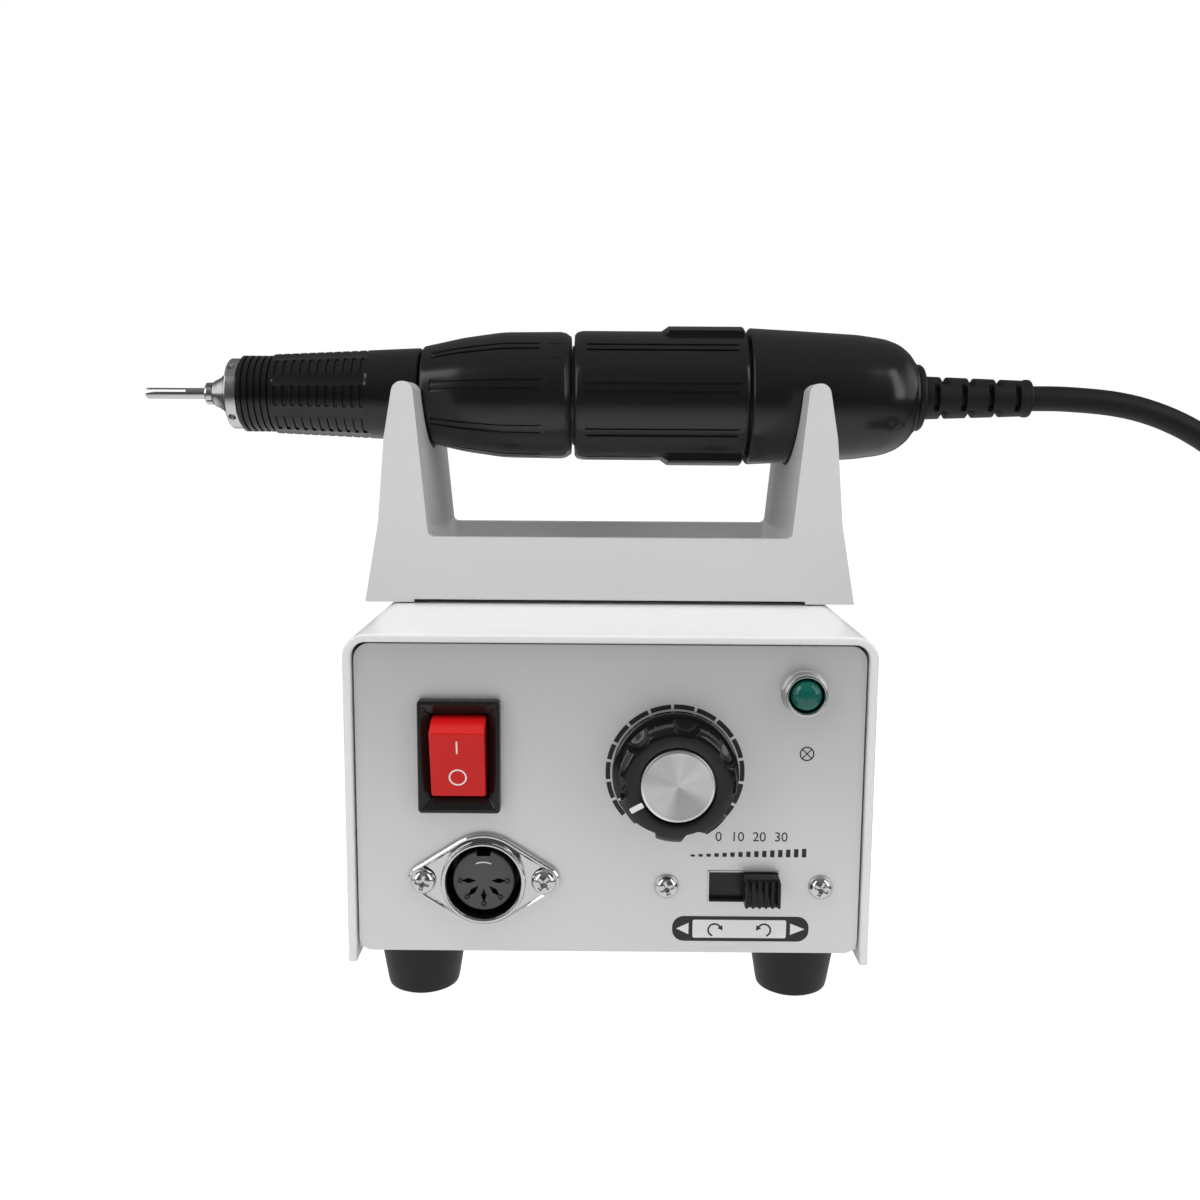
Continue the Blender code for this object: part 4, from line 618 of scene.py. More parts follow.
leadSettings = {
    "radius": 2.75 * mm, "layer": 6.05 * mm, "turnStep": 6.05 * mm, "meanRadius": 30 * mm, "turns": 6.625,
    "loopPoints": 24, "startAngle": 135, "lift": 0.1 * mm, "tail": 31 * mm, "landing": 0.011,
    "coilFromExit": (0.0600, -0.0760), "around": 20, "pointStep": 2.0 * mm, "plugRadius": 8.6 * mm,
    # from the strain relief's end, the hanging stretch as (x, y, z)
    "route": (
        (0.0, 0.0, 0.0), (0.006, 0.0, 0.0), (0.018, 0.0, -0.0009), (0.028, 0.0, -0.0032), (0.038, -0.0003, -0.0078),
        (0.0475, -0.0012, -0.0150), (0.0555, -0.0026, -0.0250), (0.0605, -0.0045, -0.0370), (0.0625, -0.0068, -0.0500),
        (0.0628, -0.0096, -0.0625), (0.0614, -0.0128, -0.0745), (0.0585, -0.0168, -0.0860), (0.0541, -0.0216, -0.0960),
        (0.0480, -0.0278, -0.1040), (0.0405, -0.0353, -0.1095),
    ),
}


def smoothCurve(points, steps=10):
    # each stretch is a cubic whose tangents run along the neighbours
    p = np.asarray(points, float)
    p = np.vstack([2 * p[0] - p[1], p, 2 * p[-1] - p[-2]])
    t = np.linspace(0, 1, steps, endpoint=False)[:, None]
    a, b, c, d = p[:-3, None], p[1:-2, None], p[2:-1, None], p[3:, None]
    curve = 0.5 * (2 * b + (c - a) * t + (2 * a - 5 * b + 4 * c - d) * t ** 2 + (3 * b - a - 3 * c + d) * t ** 3)
    return np.vstack([curve.reshape(-1, 3), p[-2]])


def evenly(points, step):
    run = np.concatenate([[0], np.cumsum(np.linalg.norm(np.diff(points, axis=0), axis=1))])
    at = np.linspace(0, run[-1], max(2, round(run[-1] / step) + 1))
    return np.stack([np.interp(at, run, points[:, k]) for k in range(3)], axis=1)


def leadPath(s, exitPoint):
    # down from the handpiece, in along the lower layer of loops, out along the upper one, and on to the plug
    turn = np.linspace(0, s["turns"], round(s["turns"] * s["loopPoints"]) + 1)
    half = s["turns"] / 2
    radius = s["meanRadius"] + s["turnStep"] * half / 2 - s["turnStep"] * np.minimum(turn, s["turns"] - turn)
    z = s["radius"] + s["lift"] + s["layer"] * smoothStep((turn - half) * 2 + 0.5)
    angle = np.radians(s["startAngle"]) + 2 * np.pi * turn
    centre = exitPoint[:2] + np.array(s["coilFromExit"])
    loops = np.stack([centre[0] + radius * np.cos(angle), centre[1] + radius * np.sin(angle), z], axis=1)
    heading = (loops[1] - loops[0]) / np.linalg.norm(loops[1] - loops[0])
    start = loops[0] - heading * 2 * s["radius"]
    away = (loops[-1] - loops[-2]) / np.linalg.norm(loops[-1] - loops[-2])
    level = np.array([away[0], away[1], 0])
    tailEnd = loops[-1] + level * s["tail"]
    tailEnd[2] = s["plugRadius"]
    route = [exitPoint + np.array(step) for step in s["route"]]
    route += [start - heading * (fit + s["landing"]), start - heading * fit]
    down = evenly(smoothCurve(route), s["pointStep"] * 3)
    tail = evenly(smoothCurve([loops[-1], loops[-1] + away * 2 * s["radius"], tailEnd - level * 2 * s["radius"],
                               tailEnd]), s["pointStep"] * 3)
    corners = np.vstack([down, start, loops, tail[1:]])
    return evenly(smoothCurve(corners, 4), s["pointStep"]), tailEnd + level * fit, math.atan2(level[1], level[0])


def tubeMesh(name, path, radius, around):
    # a circle carried along the path on axes that don't twist, closed by a small dome at both ends
    along = np.gradient(path, axis=0)
    along /= np.linalg.norm(along, axis=1, keepdims=True)
    side = np.zeros_like(path)
    side[0] = np.cross(along[0], (0, 0, 1))
    for k in range(1, len(path)):
        side[k] = side[k - 1] - along[k] * (side[k - 1] @ along[k])
        side[k] /= np.linalg.norm(side[k])
    side[0] /= np.linalg.norm(side[0])
    other = np.cross(along, side)
    turn = np.linspace(0, 2 * np.pi, around, endpoint=False)[None, :, None]
    grid = path[:, None] + radius * (np.cos(turn) * side[:, None] + np.sin(turn) * other[:, None])
    first = path[:1, None] + (grid[:1] - path[:1, None]) * 0.8
    last = path[-1:, None] + (grid[-1:] - path[-1:, None]) * 0.8
    return gridMesh(name, np.concatenate([first, grid, last]), capFirst=True, capLast=True)


plugSettings = {
    "body": ((0, 0), (3.6, 0), (4.1, 0.6), (4.6, 8.4), (7.6, 9.2), (8.5, 16), (8.6, 38.4), (8.2, 39), (6.9, 39),
             (6.9, 34.7), (0, 34.7)),
    "shell": ((6.6, 35), (6.6, 47.7), (6.3, 48), (5.9, 47.8), (5.9, 35)),
    "ribs": 9, "ribStart": 18.0, "ribPitch": 2.0, "ribDepth": 0.45,
    "block": ((0, 35), (5.6, 35), (5.6, 40.8), (5.4, 41), (0, 41)),
    "pinCircle": 3.5, "pinRadius": 0.7, "pinLength": 7.0, "pins": 5, "holdLength": 39.0,
}


def makeLead(s, plug):
    exitPoint = np.array([boxOf("cord_lead")[0][0], handAxis[1], handAxis[2]])
    path, plugPlace, heading = leadPath(s, exitPoint)
    lead = makePiece("leadWithCoil", tubeMesh("leadWithCoil", path, s["radius"], s["around"]), finishes["rubber"],
                     None, ("cord_lead", "cord_coil"))
    ahead = np.array([math.cos(heading), math.sin(heading), 0])
    facing = np.array([[-ahead[1], ahead[0], 0], [0, 0, 1], ahead])

    def ribs(along, angle, radius):
        wave = (along / mm - plug["ribStart"]) / plug["ribPitch"]
        inside = smoothStep(wave, 0, 0.3) * (1 - smoothStep(wave, plug["ribs"] - 0.3, plug["ribs"]))
        return plug["ribDepth"] * mm * inside * (0.5 - 0.5 * np.cos(2 * np.pi * wave)) * (radius > 7.9 * mm)

    body = denser(filleted(np.array(plug["body"]) * mm, 0.4 * mm), 0.25 * mm)
    bodyPiece = makePiece("plugGrip", turnedMesh("plugGrip", body, plugPlace, facing, 72, ribs),
                          finishes["blackPlastic"], "console", ("plug_body",))
    shell = denser(filleted(np.array(plug["shell"]) * mm, 0.15 * mm, closed=True), 2 * mm, closed=True)
    shellPiece = makePiece("plugShell", turnedMesh("plugShell", shell, plugPlace, facing, 72, closed=True),
                           finishes["chrome"], "console", ("plug_shell",))
    parts = [turnedMesh("block", np.array(plug["block"]) * mm, plugPlace, facing, 48)]
    for k in range(plug["pins"]):
        turn = math.pi + math.pi * k / (plug["pins"] - 1)
        offset = np.array([plug["pinCircle"] * math.cos(turn), plug["pinCircle"] * math.sin(turn), 0]) * mm
        low, r, high = 40 * mm, plug["pinRadius"] * mm, (plug["holdLength"] + plug["pinLength"]) * mm
        pin = np.array([(0, low), (r, low), (r, high - 0.4 * mm), (r * 0.7, high - 0.1 * mm), (0, high)])
        parts.append(turnedMesh("pin", pin, laid(offset, plugPlace, facing), facing, 16))
    pins = makePiece("plugPins", joinMeshes("plugPins", parts, [0] + [1] * plug["pins"]),
                     [finishes["blackPlastic"], finishes["brass"]], "console", ("plug_pins",))
    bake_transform(lead)


makeLead(leadSettings, plugSettings)


consoleX = middleOf("case_cover")[0]
steelFinish = finishes["steel"]


def onPanel(node, rise=0.0):
    # a node's middle, brought to the front panel's face
    middle = middleOf(node)
    return np.array([middle[0], panelFace - rise, middle[2]])


def rimMesh(name, outline, rows, place, facing):
    # an outline repeated at (inset, out) rows, capped at both ends
    grid = np.stack([np.column_stack([inset(outline, i), np.full(len(outline), h)]) for i, h in rows])
    return gridMesh(name, laid(grid, place, facing), capFirst=True, capLast=True)


# The folded cover

coverSettings = {
    "width": 96.5 * mm, "height": 60.0 * mm, "depth": 122.0 * mm, "wall": 1.5 * mm, "corner": 4.3 * mm,
    "drop": 1.8 * mm, "edge": 0.45 * mm,
}


def makeCover(s):
    # a rounded strip, as wide as the cover is deep, carried along the wall's middle line
    half, top, wall = (s["width"] - s["wall"]) / 2, s["height"] - s["wall"] / 2, s["wall"]
    line = filleted([(half, -s["drop"]), (half, top), (-half, top), (-half, -s["drop"])],
                    s["corner"] - wall / 2, steps=12)
    line = denser(line, 12 * mm)
    along = np.gradient(line, axis=0)
    along /= np.linalg.norm(along, axis=1, keepdims=True)
    outward = np.stack([along[:, 1], -along[:, 0]], axis=1)
    edge, depth = s["edge"], s["depth"]
    ring = np.array([(x, y + depth / 2) for x, y in ringOf(wall / 2, depth / 2, edge, 4)])
    flat = line[:, None] + outward[:, None] * ring[None, :, :1]
    grid = np.stack([flat[..., 0], flat[..., 1], np.repeat(ring[None, :, 1], len(line), axis=0)], axis=2)
    low, high = boxOf("case_cover")
    place = (consoleX, low[1], high[2] - s["height"])
    mesh = gridMesh("caseCoverShell", laid(grid, place, "rear"), capFirst=True, capLast=True)
    makePiece("caseCoverShell", mesh, finishes["coverPaint"], "console", ("case_cover",))


makeCover(coverSettings)

# The four feet

footSettings = {  # radius and height, from the pocket under the foot to the barb on its stem
    "profile": ((0, 2.2), (2.0, 2.2), (2.3, 0), (5.7, 0), (6.7, 0.55), (6.95, 1.6), (8.35, 10.1), (8.45, 10.5),
                (8.1, 10.68), (2.4, 10.68), (2.4, 13.4), (2.9, 13.7), (1.2, 14.85), (0, 14.9)),
    "rounding": (0, 0.15, 0.15, 0.2, 0.5, 1.0, 0.3, 0.2, 0.15, 0, 0, 0.1, 0.2, 0),
}


def makeFeet(s):
    profile = denser(filleted(np.array(s["profile"]) * mm, np.array(s["rounding"]) * mm), 2.5 * mm)
    for node in ("foot_front_left", "foot_front_right", "foot_rear_left", "foot_rear_right"):
        x, y, _ = middleOf(node)
        name = "rubber" + node.title().replace("_", "")
        makePiece(name, turnedMesh(name, profile, (x, y, 0), "top", 64), finishes["rubber"], "console",
                  (node,))


makeFeet(footSettings)

# Cross-head screws: a domed head whose face is lowered in a cross, on a plain shank

screwSettings = {
    "rise": 0.62, "slotHalf": 0.13, "slotReach": 0.56, "slotDepth": 0.42, "soft": 0.035, "columns": 96, "rows": 26,
    "screws": (  # node, head, shank, length, way it faces, turn of its cross in degrees
        ("socket_screw_left", 2.4, 1.25, 6.0, "front", 12), ("socket_screw_right", 2.4, 1.25, 6.0, "front", 38),
        ("slide_screw_left", 2.3, 1.25, 6.0, "front", 71), ("slide_screw_right", 2.3, 1.25, 6.0, "front", 24),
        ("cover_screw_1", 3.0, 1.5, 6.0, "left", 8), ("cover_screw_2", 3.0, 1.5, 6.0, "left", 55),
        ("cover_screw_3", 3.0, 1.5, 6.0, "right", 31), ("cover_screw_4", 3.0, 1.5, 6.0, "right", 80),
        ("cradle_screw_1", 3.6, 2.0, 8.0, "top", 17), ("cradle_screw_2", 3.6, 2.0, 8.0, "top", 62),
    ),
}


def makeScrews(s):
    angle = np.arange(s["columns"]) * 2 * np.pi / s["columns"]
    share = np.concatenate([[0], np.linspace(0.03, 0.9, s["rows"]), [0.95, 0.985, 1.0]])
    for node, head, shank, length, facing, turn in s["screws"]:
        head, shank, length = head * mm, shank * mm, length * mm
        rise = head * s["rise"]
        radius = np.repeat(share[:, None] * head, s["columns"], axis=1)
        x, y = radius * np.cos(angle + math.radians(turn)), radius * np.sin(angle + math.radians(turn))
        half, reach, soft = s["slotHalf"] * head, s["slotReach"] * head, s["soft"] * head
        arms = [(1 - smoothStep(np.abs(a), half - soft, half + soft))
                * (1 - smoothStep(np.abs(b), reach - soft, reach + soft))
                for a, b in ((x, y), (y, x))]
        depth = head * s["slotDepth"] * np.maximum(*arms) * (1 - 0.5 * radius / reach).clip(0, 1)
        top = rise * (1 - (radius / head) ** 2.8) ** 0.62 + 0.12 * mm - depth
        cap = np.stack([radius * np.cos(angle), radius * np.sin(angle), top], axis=2)
        rest = turnedGrid(np.array([(head, 0.03 * mm), (shank, 0.03 * mm), (shank, 0.3 * mm - length),
                                    (0, -length)]), s["columns"])
        low, high = boxOf(node)
        seat = (low + high) / 2
        out = axes[facing][2]
        k = int(np.argmax(np.abs(out)))
        seat[k] = high[k] - rise if out[k] > 0 else low[k] + rise
        name = node.replace("_", "") + "Head"
        makePiece(name, gridMesh(name, laid(np.concatenate([cap, rest]), seat, facing)), finishes["chrome"]
                  if facing == "front" else steelFinish, "console", (node,), 28)


makeScrews(screwSettings)
print("cover, feet and screws ready")

# Power switch: a mitred bezel with its pocket, and a rocker with its two printed marks

switchSettings = {
    # half width, half height, corner and out, from the back of the case round the rim to the pocket's floor
    "rings": ((6.5, 9.5, 0.5, -15.0), (6.5, 9.5, 0.5, 0.02), (7.5, 10.5, 0.7, 0.03), (7.5, 10.5, 0.7, 1.7),
              (7.42, 10.42, 0.7, 2.05), (7.25, 10.25, 0.65, 2.27), (7.05, 10.05, 0.6, 2.3), (6.75, 9.75, 0.5, 2.3),
              (6.6, 9.6, 0.45, 2.22), (5.62, 8.12, 0.3, 1.15), (5.45, 7.95, 0.25, 1.0), (5.3, 7.82, 0.2, 0.8),
              (5.28, 7.8, 0.2, -13.4)),
    "width": 9.9 * mm, "radius": 7.5 * mm, "flat": 4.2 * mm, "tilt": 12.0, "edge": 0.4 * mm, "crest": 0.35 * mm,
    "line": 0.27 * mm, "barUp": 3.5 * mm, "barTall": 2.5 * mm, "ringUp": -2.45 * mm, "ringRadius": 1.62 * mm,
    "ink": 0.03 * mm,
}


def makeSwitch(s):
    place = onPanel("switch_body")
    makePiece("switchBezel", loftMesh("switchBezel", inMetres(s["rings"]), place, "front"), finishes["blackPlastic"],
              "console", ("switch_body",), 24)

    # The outline is drawn as (forward, up), already leaning by the tilt, and is carried across the rocker's width.
    half, tilt = math.acos(s["flat"] / s["radius"]), math.radians(s["tilt"])
    arc = np.linspace(half, 2 * np.pi - half, 60)
    outline = np.column_stack([s["radius"] * np.cos(arc), s["radius"] * np.sin(arc)])
    face = [(s["flat"], v) for v in np.linspace(-outline[0][1], outline[0][1], 9)[1:-1]]
    corners = np.vstack([outline, face])
    radii = np.zeros(len(corners))
    radii[0] = radii[59] = s["crest"]
    outline = filleted(corners, radii, closed=True, steps=4)
    turn = np.array([[math.cos(tilt), -math.sin(tilt)], [math.sin(tilt), math.cos(tilt)]])
    outline = outline @ turn
    ahead = np.array([[0, -1, 0], [0, 0, 1], [-1, 0, 0]], float)
    width = s["width"]
    drum = prismMesh("drum", outline, -width / 2, width / 2, s["edge"], rockerPivot, ahead, 4)
    # The flat's own axes: across, up along it and out of it.
    normal = np.array([0, -math.cos(tilt), -math.sin(tilt)])
    flatAxes = np.array([[1, 0, 0], np.cross(normal, [1, 0, 0]), normal])
    ink, line = s["ink"], s["line"]
    bar = ringOf(line / 2, s["barTall"] / 2, line / 5, 2) + (0, s["barUp"])
    marks = [rimMesh("bar", bar, [(0, s["flat"] - ink), (0, s["flat"] + ink)], rockerPivot, flatAxes)]
    r = s["ringRadius"]
    ring = np.array([(r, -ink), (r, ink), (r - line, ink), (r - line, -ink)]) + (0, s["flat"])
    centre = rockerPivot + flatAxes[1] * s["ringUp"]
    marks.append(turnedMesh("ring", ring, centre, flatAxes, 64, closed=True))
    makePiece("rockerButton", joinMeshes("rockerButton", [drum, *marks], [0, 1, 1]),
              [finishes["redPlastic"], finishes["whiteInk"]], "power_rocker", ("rocker_button",))


makeSwitch(switchSettings)

# Pilot lamp: a turned bezel and a domed lens

lampSettings = {
    "bezel": ((4.25, 0.03), (4.25, 0.85), (4.0, 1.15), (3.92, 1.35), (3.9, 3.1), (3.65, 3.58), (3.35, 3.6),
              (3.14, 3.3), (3.1, -9.0), (3.6, -9.0), (3.6, 0.03)),
    "lens": ((0, 4.55), (1.0, 4.44), (1.9, 4.1), (2.5, 3.62), (2.8, 3.0), (2.82, 2.4), (2.8, -9.0), (0, -9.0)),
}


def makeLamp(s):
    place = onPanel("lamp_bezel")
    bezel = denser(filleted(np.array(s["bezel"]) * mm, 0.16 * mm, closed=True, steps=4), 3 * mm, closed=True)
    makePiece("lampBezel", turnedMesh("lampBezel", bezel, place, "front", 96, closed=True), finishes["chrome"],
              "console", ("lamp_bezel",))
    lens = filleted(np.array(s["lens"]) * mm, [0, 1.6 * mm, 1.2 * mm, 0.8 * mm, 0.6 * mm, 0, 0, 0], steps=5)
    makePiece("lampLens", turnedMesh("lampLens", lens, place, "front", 64), finishes["greenLens"], "console",
              ("lamp_lens",))


makeLamp(lampSettings)

# Speed knob: round scoops run down its side and fade above the skirt

knobSettings = {
    # radius, height over the panel, how far the scoops reach there
    "rows": ((3.3, 8.5, 0), (3.3, 3.7, 0), (7.0, 3.7, 0), (7.05, 0.66, 0), (11.3, 0.65, 0), (11.5, 0.85, 0),
             (11.5, 2.15, 0), (11.4, 2.45, 0), (11.1, 2.66, 0), (10.7, 2.7, 0), (10.56, 2.74, 0), (10.5, 2.86, 0),
             (10.5, 3.1, 0.05), (10.5, 3.4, 0.35), (10.5, 3.7, 0.68), (10.5, 4.0, 0.88), (10.5, 4.4, 0.98),
             (10.5, 5.0, 1), (10.5, 8.1, 1), (10.46, 8.35, 1), (10.3, 8.6, 1), (9.85, 9.0, 1), (9.6, 9.18, 1),
             (9.3, 9.28, 1), (9.0, 9.3, 1), (8.75, 9.3, 1), (8.4, 9.3, 0), (7.1, 9.3, 0), (6.95, 9.26, 0),
             (6.9, 9.1, 0), (6.9, 8.5, 0)),
    "scoops": 7, "firstScoop": 30.1, "scoopRadius": 2.6, "scoopCentre": 11.35, "bodyRadius": 10.5,
    "pointerAngle": 209, "pointerFrom": 6.98, "pointerTo": 9.5, "pointerLine": 1.0,
    "tickAngle": 204,
    "cap": ((0, 9.42), (5.5, 9.66), (6.1, 9.7), (6.45, 9.58), (6.58, 9.3), (6.6, 8.8), (0, 8.8)),
}


def makeKnob(s):
    pitch, r, c, body = 360 / s["scoops"], s["scoopRadius"], s["scoopCentre"], s["bodyRadius"]
    edge = math.degrees(math.acos((c * c + body * body - r * r) / (2 * c * body)))
    inside = np.linspace(-edge, edge, 19)
    outside = np.linspace(edge, pitch - edge, 13)[1:-1]
    one = np.concatenate([inside, [edge + 0.25], outside, [pitch - edge - 0.25]])
    angle = np.sort((s["firstScoop"] + one[None] + pitch * np.arange(s["scoops"])[:, None]).ravel() % 360)
    away = np.abs(angleApart(angle * s["scoops"], s["firstScoop"] * s["scoops"])) / s["scoops"]
    sway = np.radians(np.minimum(away, edge))
    cut = c * np.cos(sway) - np.sqrt(np.maximum(r * r - (c * np.sin(sway)) ** 2, 0))
    rows = np.array(s["rows"])
    reach = body - rows[:, 2:3] * (body - np.where(away <= edge + 1e-9, cut, body))[None]
    radius = np.where(rows[:, 2:3] > 0, np.minimum(rows[:, :1], reach), rows[:, :1]) * mm
    turn = np.radians(angle)[None]
    high = np.repeat(rows[:, 1:2], len(angle), axis=1) * mm
    grid = np.stack([radius * np.cos(turn), radius * np.sin(turn), high], axis=2)
    shell = gridMesh("knobShell", laid(grid, knobCentre, "front"), rowsClosed=True)
    parts, slots = [shell], [0]

    def strip(angleAt, start, end, wide, low, top):
        a = math.radians(angleAt)
        out, side = np.array([math.cos(a), math.sin(a)]), np.array([-math.sin(a), math.cos(a)])
        flat = ringOf((end - start) / 2 * mm, wide / 2 * mm, wide / 5 * mm, 3)
        flat = flat @ np.array([out, side]) + out * (start + end) / 2 * mm
        rise = (top - low) * mm / 3
        return rimMesh("strip", flat, [(0, low * mm), (0, top * mm - rise), (rise, top * mm)], knobCentre, "front")

    parts.append(strip(s["pointerAngle"], s["pointerFrom"], s["pointerTo"], s["pointerLine"], 9.2, 9.46))
    parts.append(strip(s["tickAngle"], 10.62, 11.35, 0.45, 2.5, 2.72))
    slots += [1, 1]
    makePiece("knobBody", joinMeshes("knobBody", parts, slots), [finishes["knobPlastic"], finishes["whiteInk"]],
              "speed_knob", ("knob_body",), 30)
    cap = denser(filleted(np.array(s["cap"]) * mm, [0, 0.8 * mm, 0.3 * mm, 0.2 * mm, 0.1 * mm, 0, 0]), 0.6 * mm)
    makePiece("knobCap", turnedMesh("knobCap", cap, knobCentre, "front", 160), finishes["spunFace"], "speed_knob",
              ("knob_cap",))


makeKnob(knobSettings)
print("switch, lamp and knob ready")

# Handpiece socket: a rimmed flange with its collar, and an insert with five slots and a key

socketSettings = {
    "pitch": 22.3, "earRadius": 2.9, "bodyRadius": 8.9,
    "rim": ((0, 0.03), (0, 0.85), (0.12, 1.12), (0.35, 1.28), (0.6, 1.28), (0.82, 1.12), (0.95, 1.0), (1.1, 0.97)),
    "collar": ((7.8, 0.5), (7.8, 2.05), (7.62, 2.34), (7.3, 2.4), (7.05, 2.3), (6.9, 2.0), (6.9, -12.0),
               (7.8, -12.0)),
    "insert": ((0, 1.0), (5.5, 1.0), (5.7, 0.8), (5.7, -7.0), (6.6, -7.0), (6.6, -11.7), (0, -11.7)),
    "slots": 5, "slotIn": 1.35, "slotOut": 4.25, "slotWide": 1.05, "slotDeep": 1.6,
    "dotCircle": 4.35, "keyWide": 2.6, "keyDeep": 1.0, "springRadius": 3.55, "springHalf": 24,
    "holeRadius": 7.3, "holeSpan": (-2, 4),
    "paintedWallShade": (6.5, 7.0, 2.05), "paintedSlotShade": (1.0, 4.9, 0.95),  # painted shade on the collar's inner wall and in the insert's slots: nearest and furthest from the axis, highest out
}


def paintRecessShade(piece, place, inner, outer, out):
    # painted shade: the faces between two distances from the axis and behind the height given, down in a recess, get
    # the last finish, a dark one that stands in for the shade that falls there
    count = len(piece.data.polygons)
    centres, slots = np.empty(count * 3), np.empty(count, np.int32)
    piece.data.polygons.foreach_get("center", centres)
    piece.data.polygons.foreach_get("material_index", slots)
    apart = centres.reshape(-1, 3) - place
    radius = np.hypot(apart[:, 0], apart[:, 2])
    inShade = (radius > inner * mm) & (radius < outer * mm) & (-apart[:, 1] < out * mm) & (slots == 0)
    slots[inShade] = len(piece.data.materials) - 1
    piece.data.polygons.foreach_set("material_index", slots)


def makeSocket(s):
    place = onPanel("socket_insert")
    ear, small, big = s["pitch"] / 2, s["earRadius"], s["bodyRadius"]
    lean = math.acos((big - small) / ear)
    arcs = []
    for x, radius, first, last in ((0, big, lean, math.pi - lean), (-ear, small, math.pi - lean, math.pi + lean),
                                   (0, big, math.pi + lean, 2 * math.pi - lean),
                                   (ear, small, 2 * math.pi - lean, 2 * math.pi + lean)):
        a = np.linspace(first, last, 25)
        arcs.append(np.column_stack([x + radius * np.cos(a), radius * np.sin(a)]))
    outline = denser(np.vstack(arcs) * mm, 1.5 * mm, closed=True)
    flange = rimMesh("flange", outline, np.array(s["rim"]) * mm, place, "front")
    r, (low, high) = s["holeRadius"], s["holeSpan"]
    hole = turnedMesh("hole", np.array([(0, low), (r, low), (r, high), (0, high)]) * mm, place, "front", 96)
    flange = cutMesh(flange, [hole], "flangePlate")
    collar = filleted(np.array(s["collar"]) * mm, 0.15 * mm, closed=True, steps=4)
    ring = turnedMesh("collar", collar, place, "front", 128, closed=True)
    piece = makePiece("socketFlange", joinMeshes("socketFlange", [flange, ring]),
                      [finishes["chrome"], finishes["magnet"]],
                      "console", ("socket_flange",), 30)
    # painted shade: the collar's inner wall takes the dark metal finish in place of chrome
    paintRecessShade(piece, place, *s["paintedWallShade"])

    insert = turnedMesh("insert", np.array(s["insert"]) * mm, place, "front", 96)
    tools, dots = [], []
    for k in range(s["slots"]):
        a = math.pi + math.pi * k / (s["slots"] - 1)
        out, side = np.array([math.cos(a), math.sin(a)]), np.array([-math.sin(a), math.cos(a)])
        middle = (s["slotIn"] + s["slotOut"]) / 2
        diamond = np.array([out * s["slotIn"], out * middle - side * s["slotWide"] / 2, out * s["slotOut"],
                            out * middle + side * s["slotWide"] / 2]) * mm
        tools.append(rimMesh("slot", diamond, [(0, (1.0 - s["slotDeep"]) * mm), (0, 3 * mm)], place, "front"))
        centre = laid(np.array([*(out * s["dotCircle"] * mm), 0]), place, "front")
        dot = np.array([(0, 0.7), (0.22, 0.72), (0.24, 1.06), (0.36, 1.14), (0.5, 1.06), (0.52, 0.5), (0, 0.5)]) * mm
        dots.append(turnedMesh("dot", dot, centre, "front", 24))
    key = ringOf(s["keyWide"] / 2 * mm, s["keyDeep"] * mm, 0.25 * mm, 4) + (0, 5.7 * mm)
    tools.append(rimMesh("key", key, [(0, -5 * mm), (0, 3 * mm)], place, "front"))
    body = cutMesh(insert, tools, "insertBody")
    a = np.radians(np.linspace(90 - s["springHalf"], 90 + s["springHalf"], 25))
    r = s["springRadius"]
    arc = np.vstack([np.column_stack([(r + 0.16) * np.cos(a), (r + 0.16) * np.sin(a)]),
                     np.column_stack([(r - 0.16) * np.cos(a[::-1]), (r - 0.16) * np.sin(a[::-1])])]) * mm
    spring = rimMesh("spring", arc, [(0, 0.8 * mm), (0, 1.05 * mm), (0.05 * mm, 1.1 * mm)], place, "front")
    piece = makePiece("socketInsert", joinMeshes("socketInsert", [body, spring, *dots], [0, 1] + [2] * len(dots)),
                      [finishes["insertPlastic"], finishes["chrome"], finishes["blackPlastic"]], "console",
                      ("socket_insert",), 30)
    # painted shade: the walls and floors of the slots take the black finish
    paintRecessShade(piece, place, *s["paintedSlotShade"])


makeSocket(socketSettings)

# Direction switch: a metal frame in its window, a dark plate behind, and a slider with upright ribs

slideSettings = {
    "frame": ((6.68, 3.13, 0.25, -1.35), (6.68, 3.13, 0.25, 0.12), (6.6, 3.05, 0.25, 0.2), (6.42, 2.87, 0.2, 0.2),
              (6.35, 2.8, 0.2, 0.1), (6.35, 2.8, 0.2, -1.35)),
    "well": ((6.6, 3.05, 0.2, -1.9), (6.6, 3.05, 0.2, -1.5)),
    "slider": ((3.3, 2.7, 0.5, -1.3), (3.3, 2.7, 0.5, 3.15), (3.22, 2.62, 0.5, 3.4), (3.05, 2.45, 0.45, 3.5)),
    "ribs": 6, "ribHalf": 0.3, "ribTall": 2.5, "ribFrom": 3.3, "ribTo": 4.4, "reach": 3.3,
}


def makeSlide(s):
    low, high = boxOf("slider_button")
    body = middleOf("slide_switch_body")
    place = np.array([body[0], panelFace, body[2]])
    makePiece("slideFrame", loftMesh("slideFrame", inMetres(s["frame"]), place, "front", closed=True),
              finishes["aluminium"],
              "console")
    makePiece("slideWell", loftMesh("slideWell", inMetres(s["well"]), place, "front"), finishes["blackPlastic"],
              "console")
    middle = np.array([(low[0] + high[0]) / 2, panelFace, (low[2] + high[2]) / 2])
    parts = [loftMesh("block", inMetres(s["slider"]), middle, "front")]
    spots = np.linspace(-s["reach"] + s["ribHalf"] + 0.05, s["reach"] - s["ribHalf"] - 0.05, s["ribs"])
    for x in spots:
        outline = ringOf(s["ribHalf"] * mm, s["ribTall"] * mm, s["ribHalf"] * mm, 4) + (x * mm, -0.05 * mm)
        parts.append(prismMesh("rib", outline, s["ribFrom"] * mm, s["ribTo"] * mm, 0.16 * mm, middle, "front", 3,
                               False))
    makePiece("sliderButton", joinMeshes("sliderButton", parts), finishes["blackPlastic"], "direction_slider",
              ("slider_button",), 30)


makeSlide(slideSettings)
print("socket and direction switch ready")

# What is printed on the panel: plain dial marks, numbers and signs, as films of ink

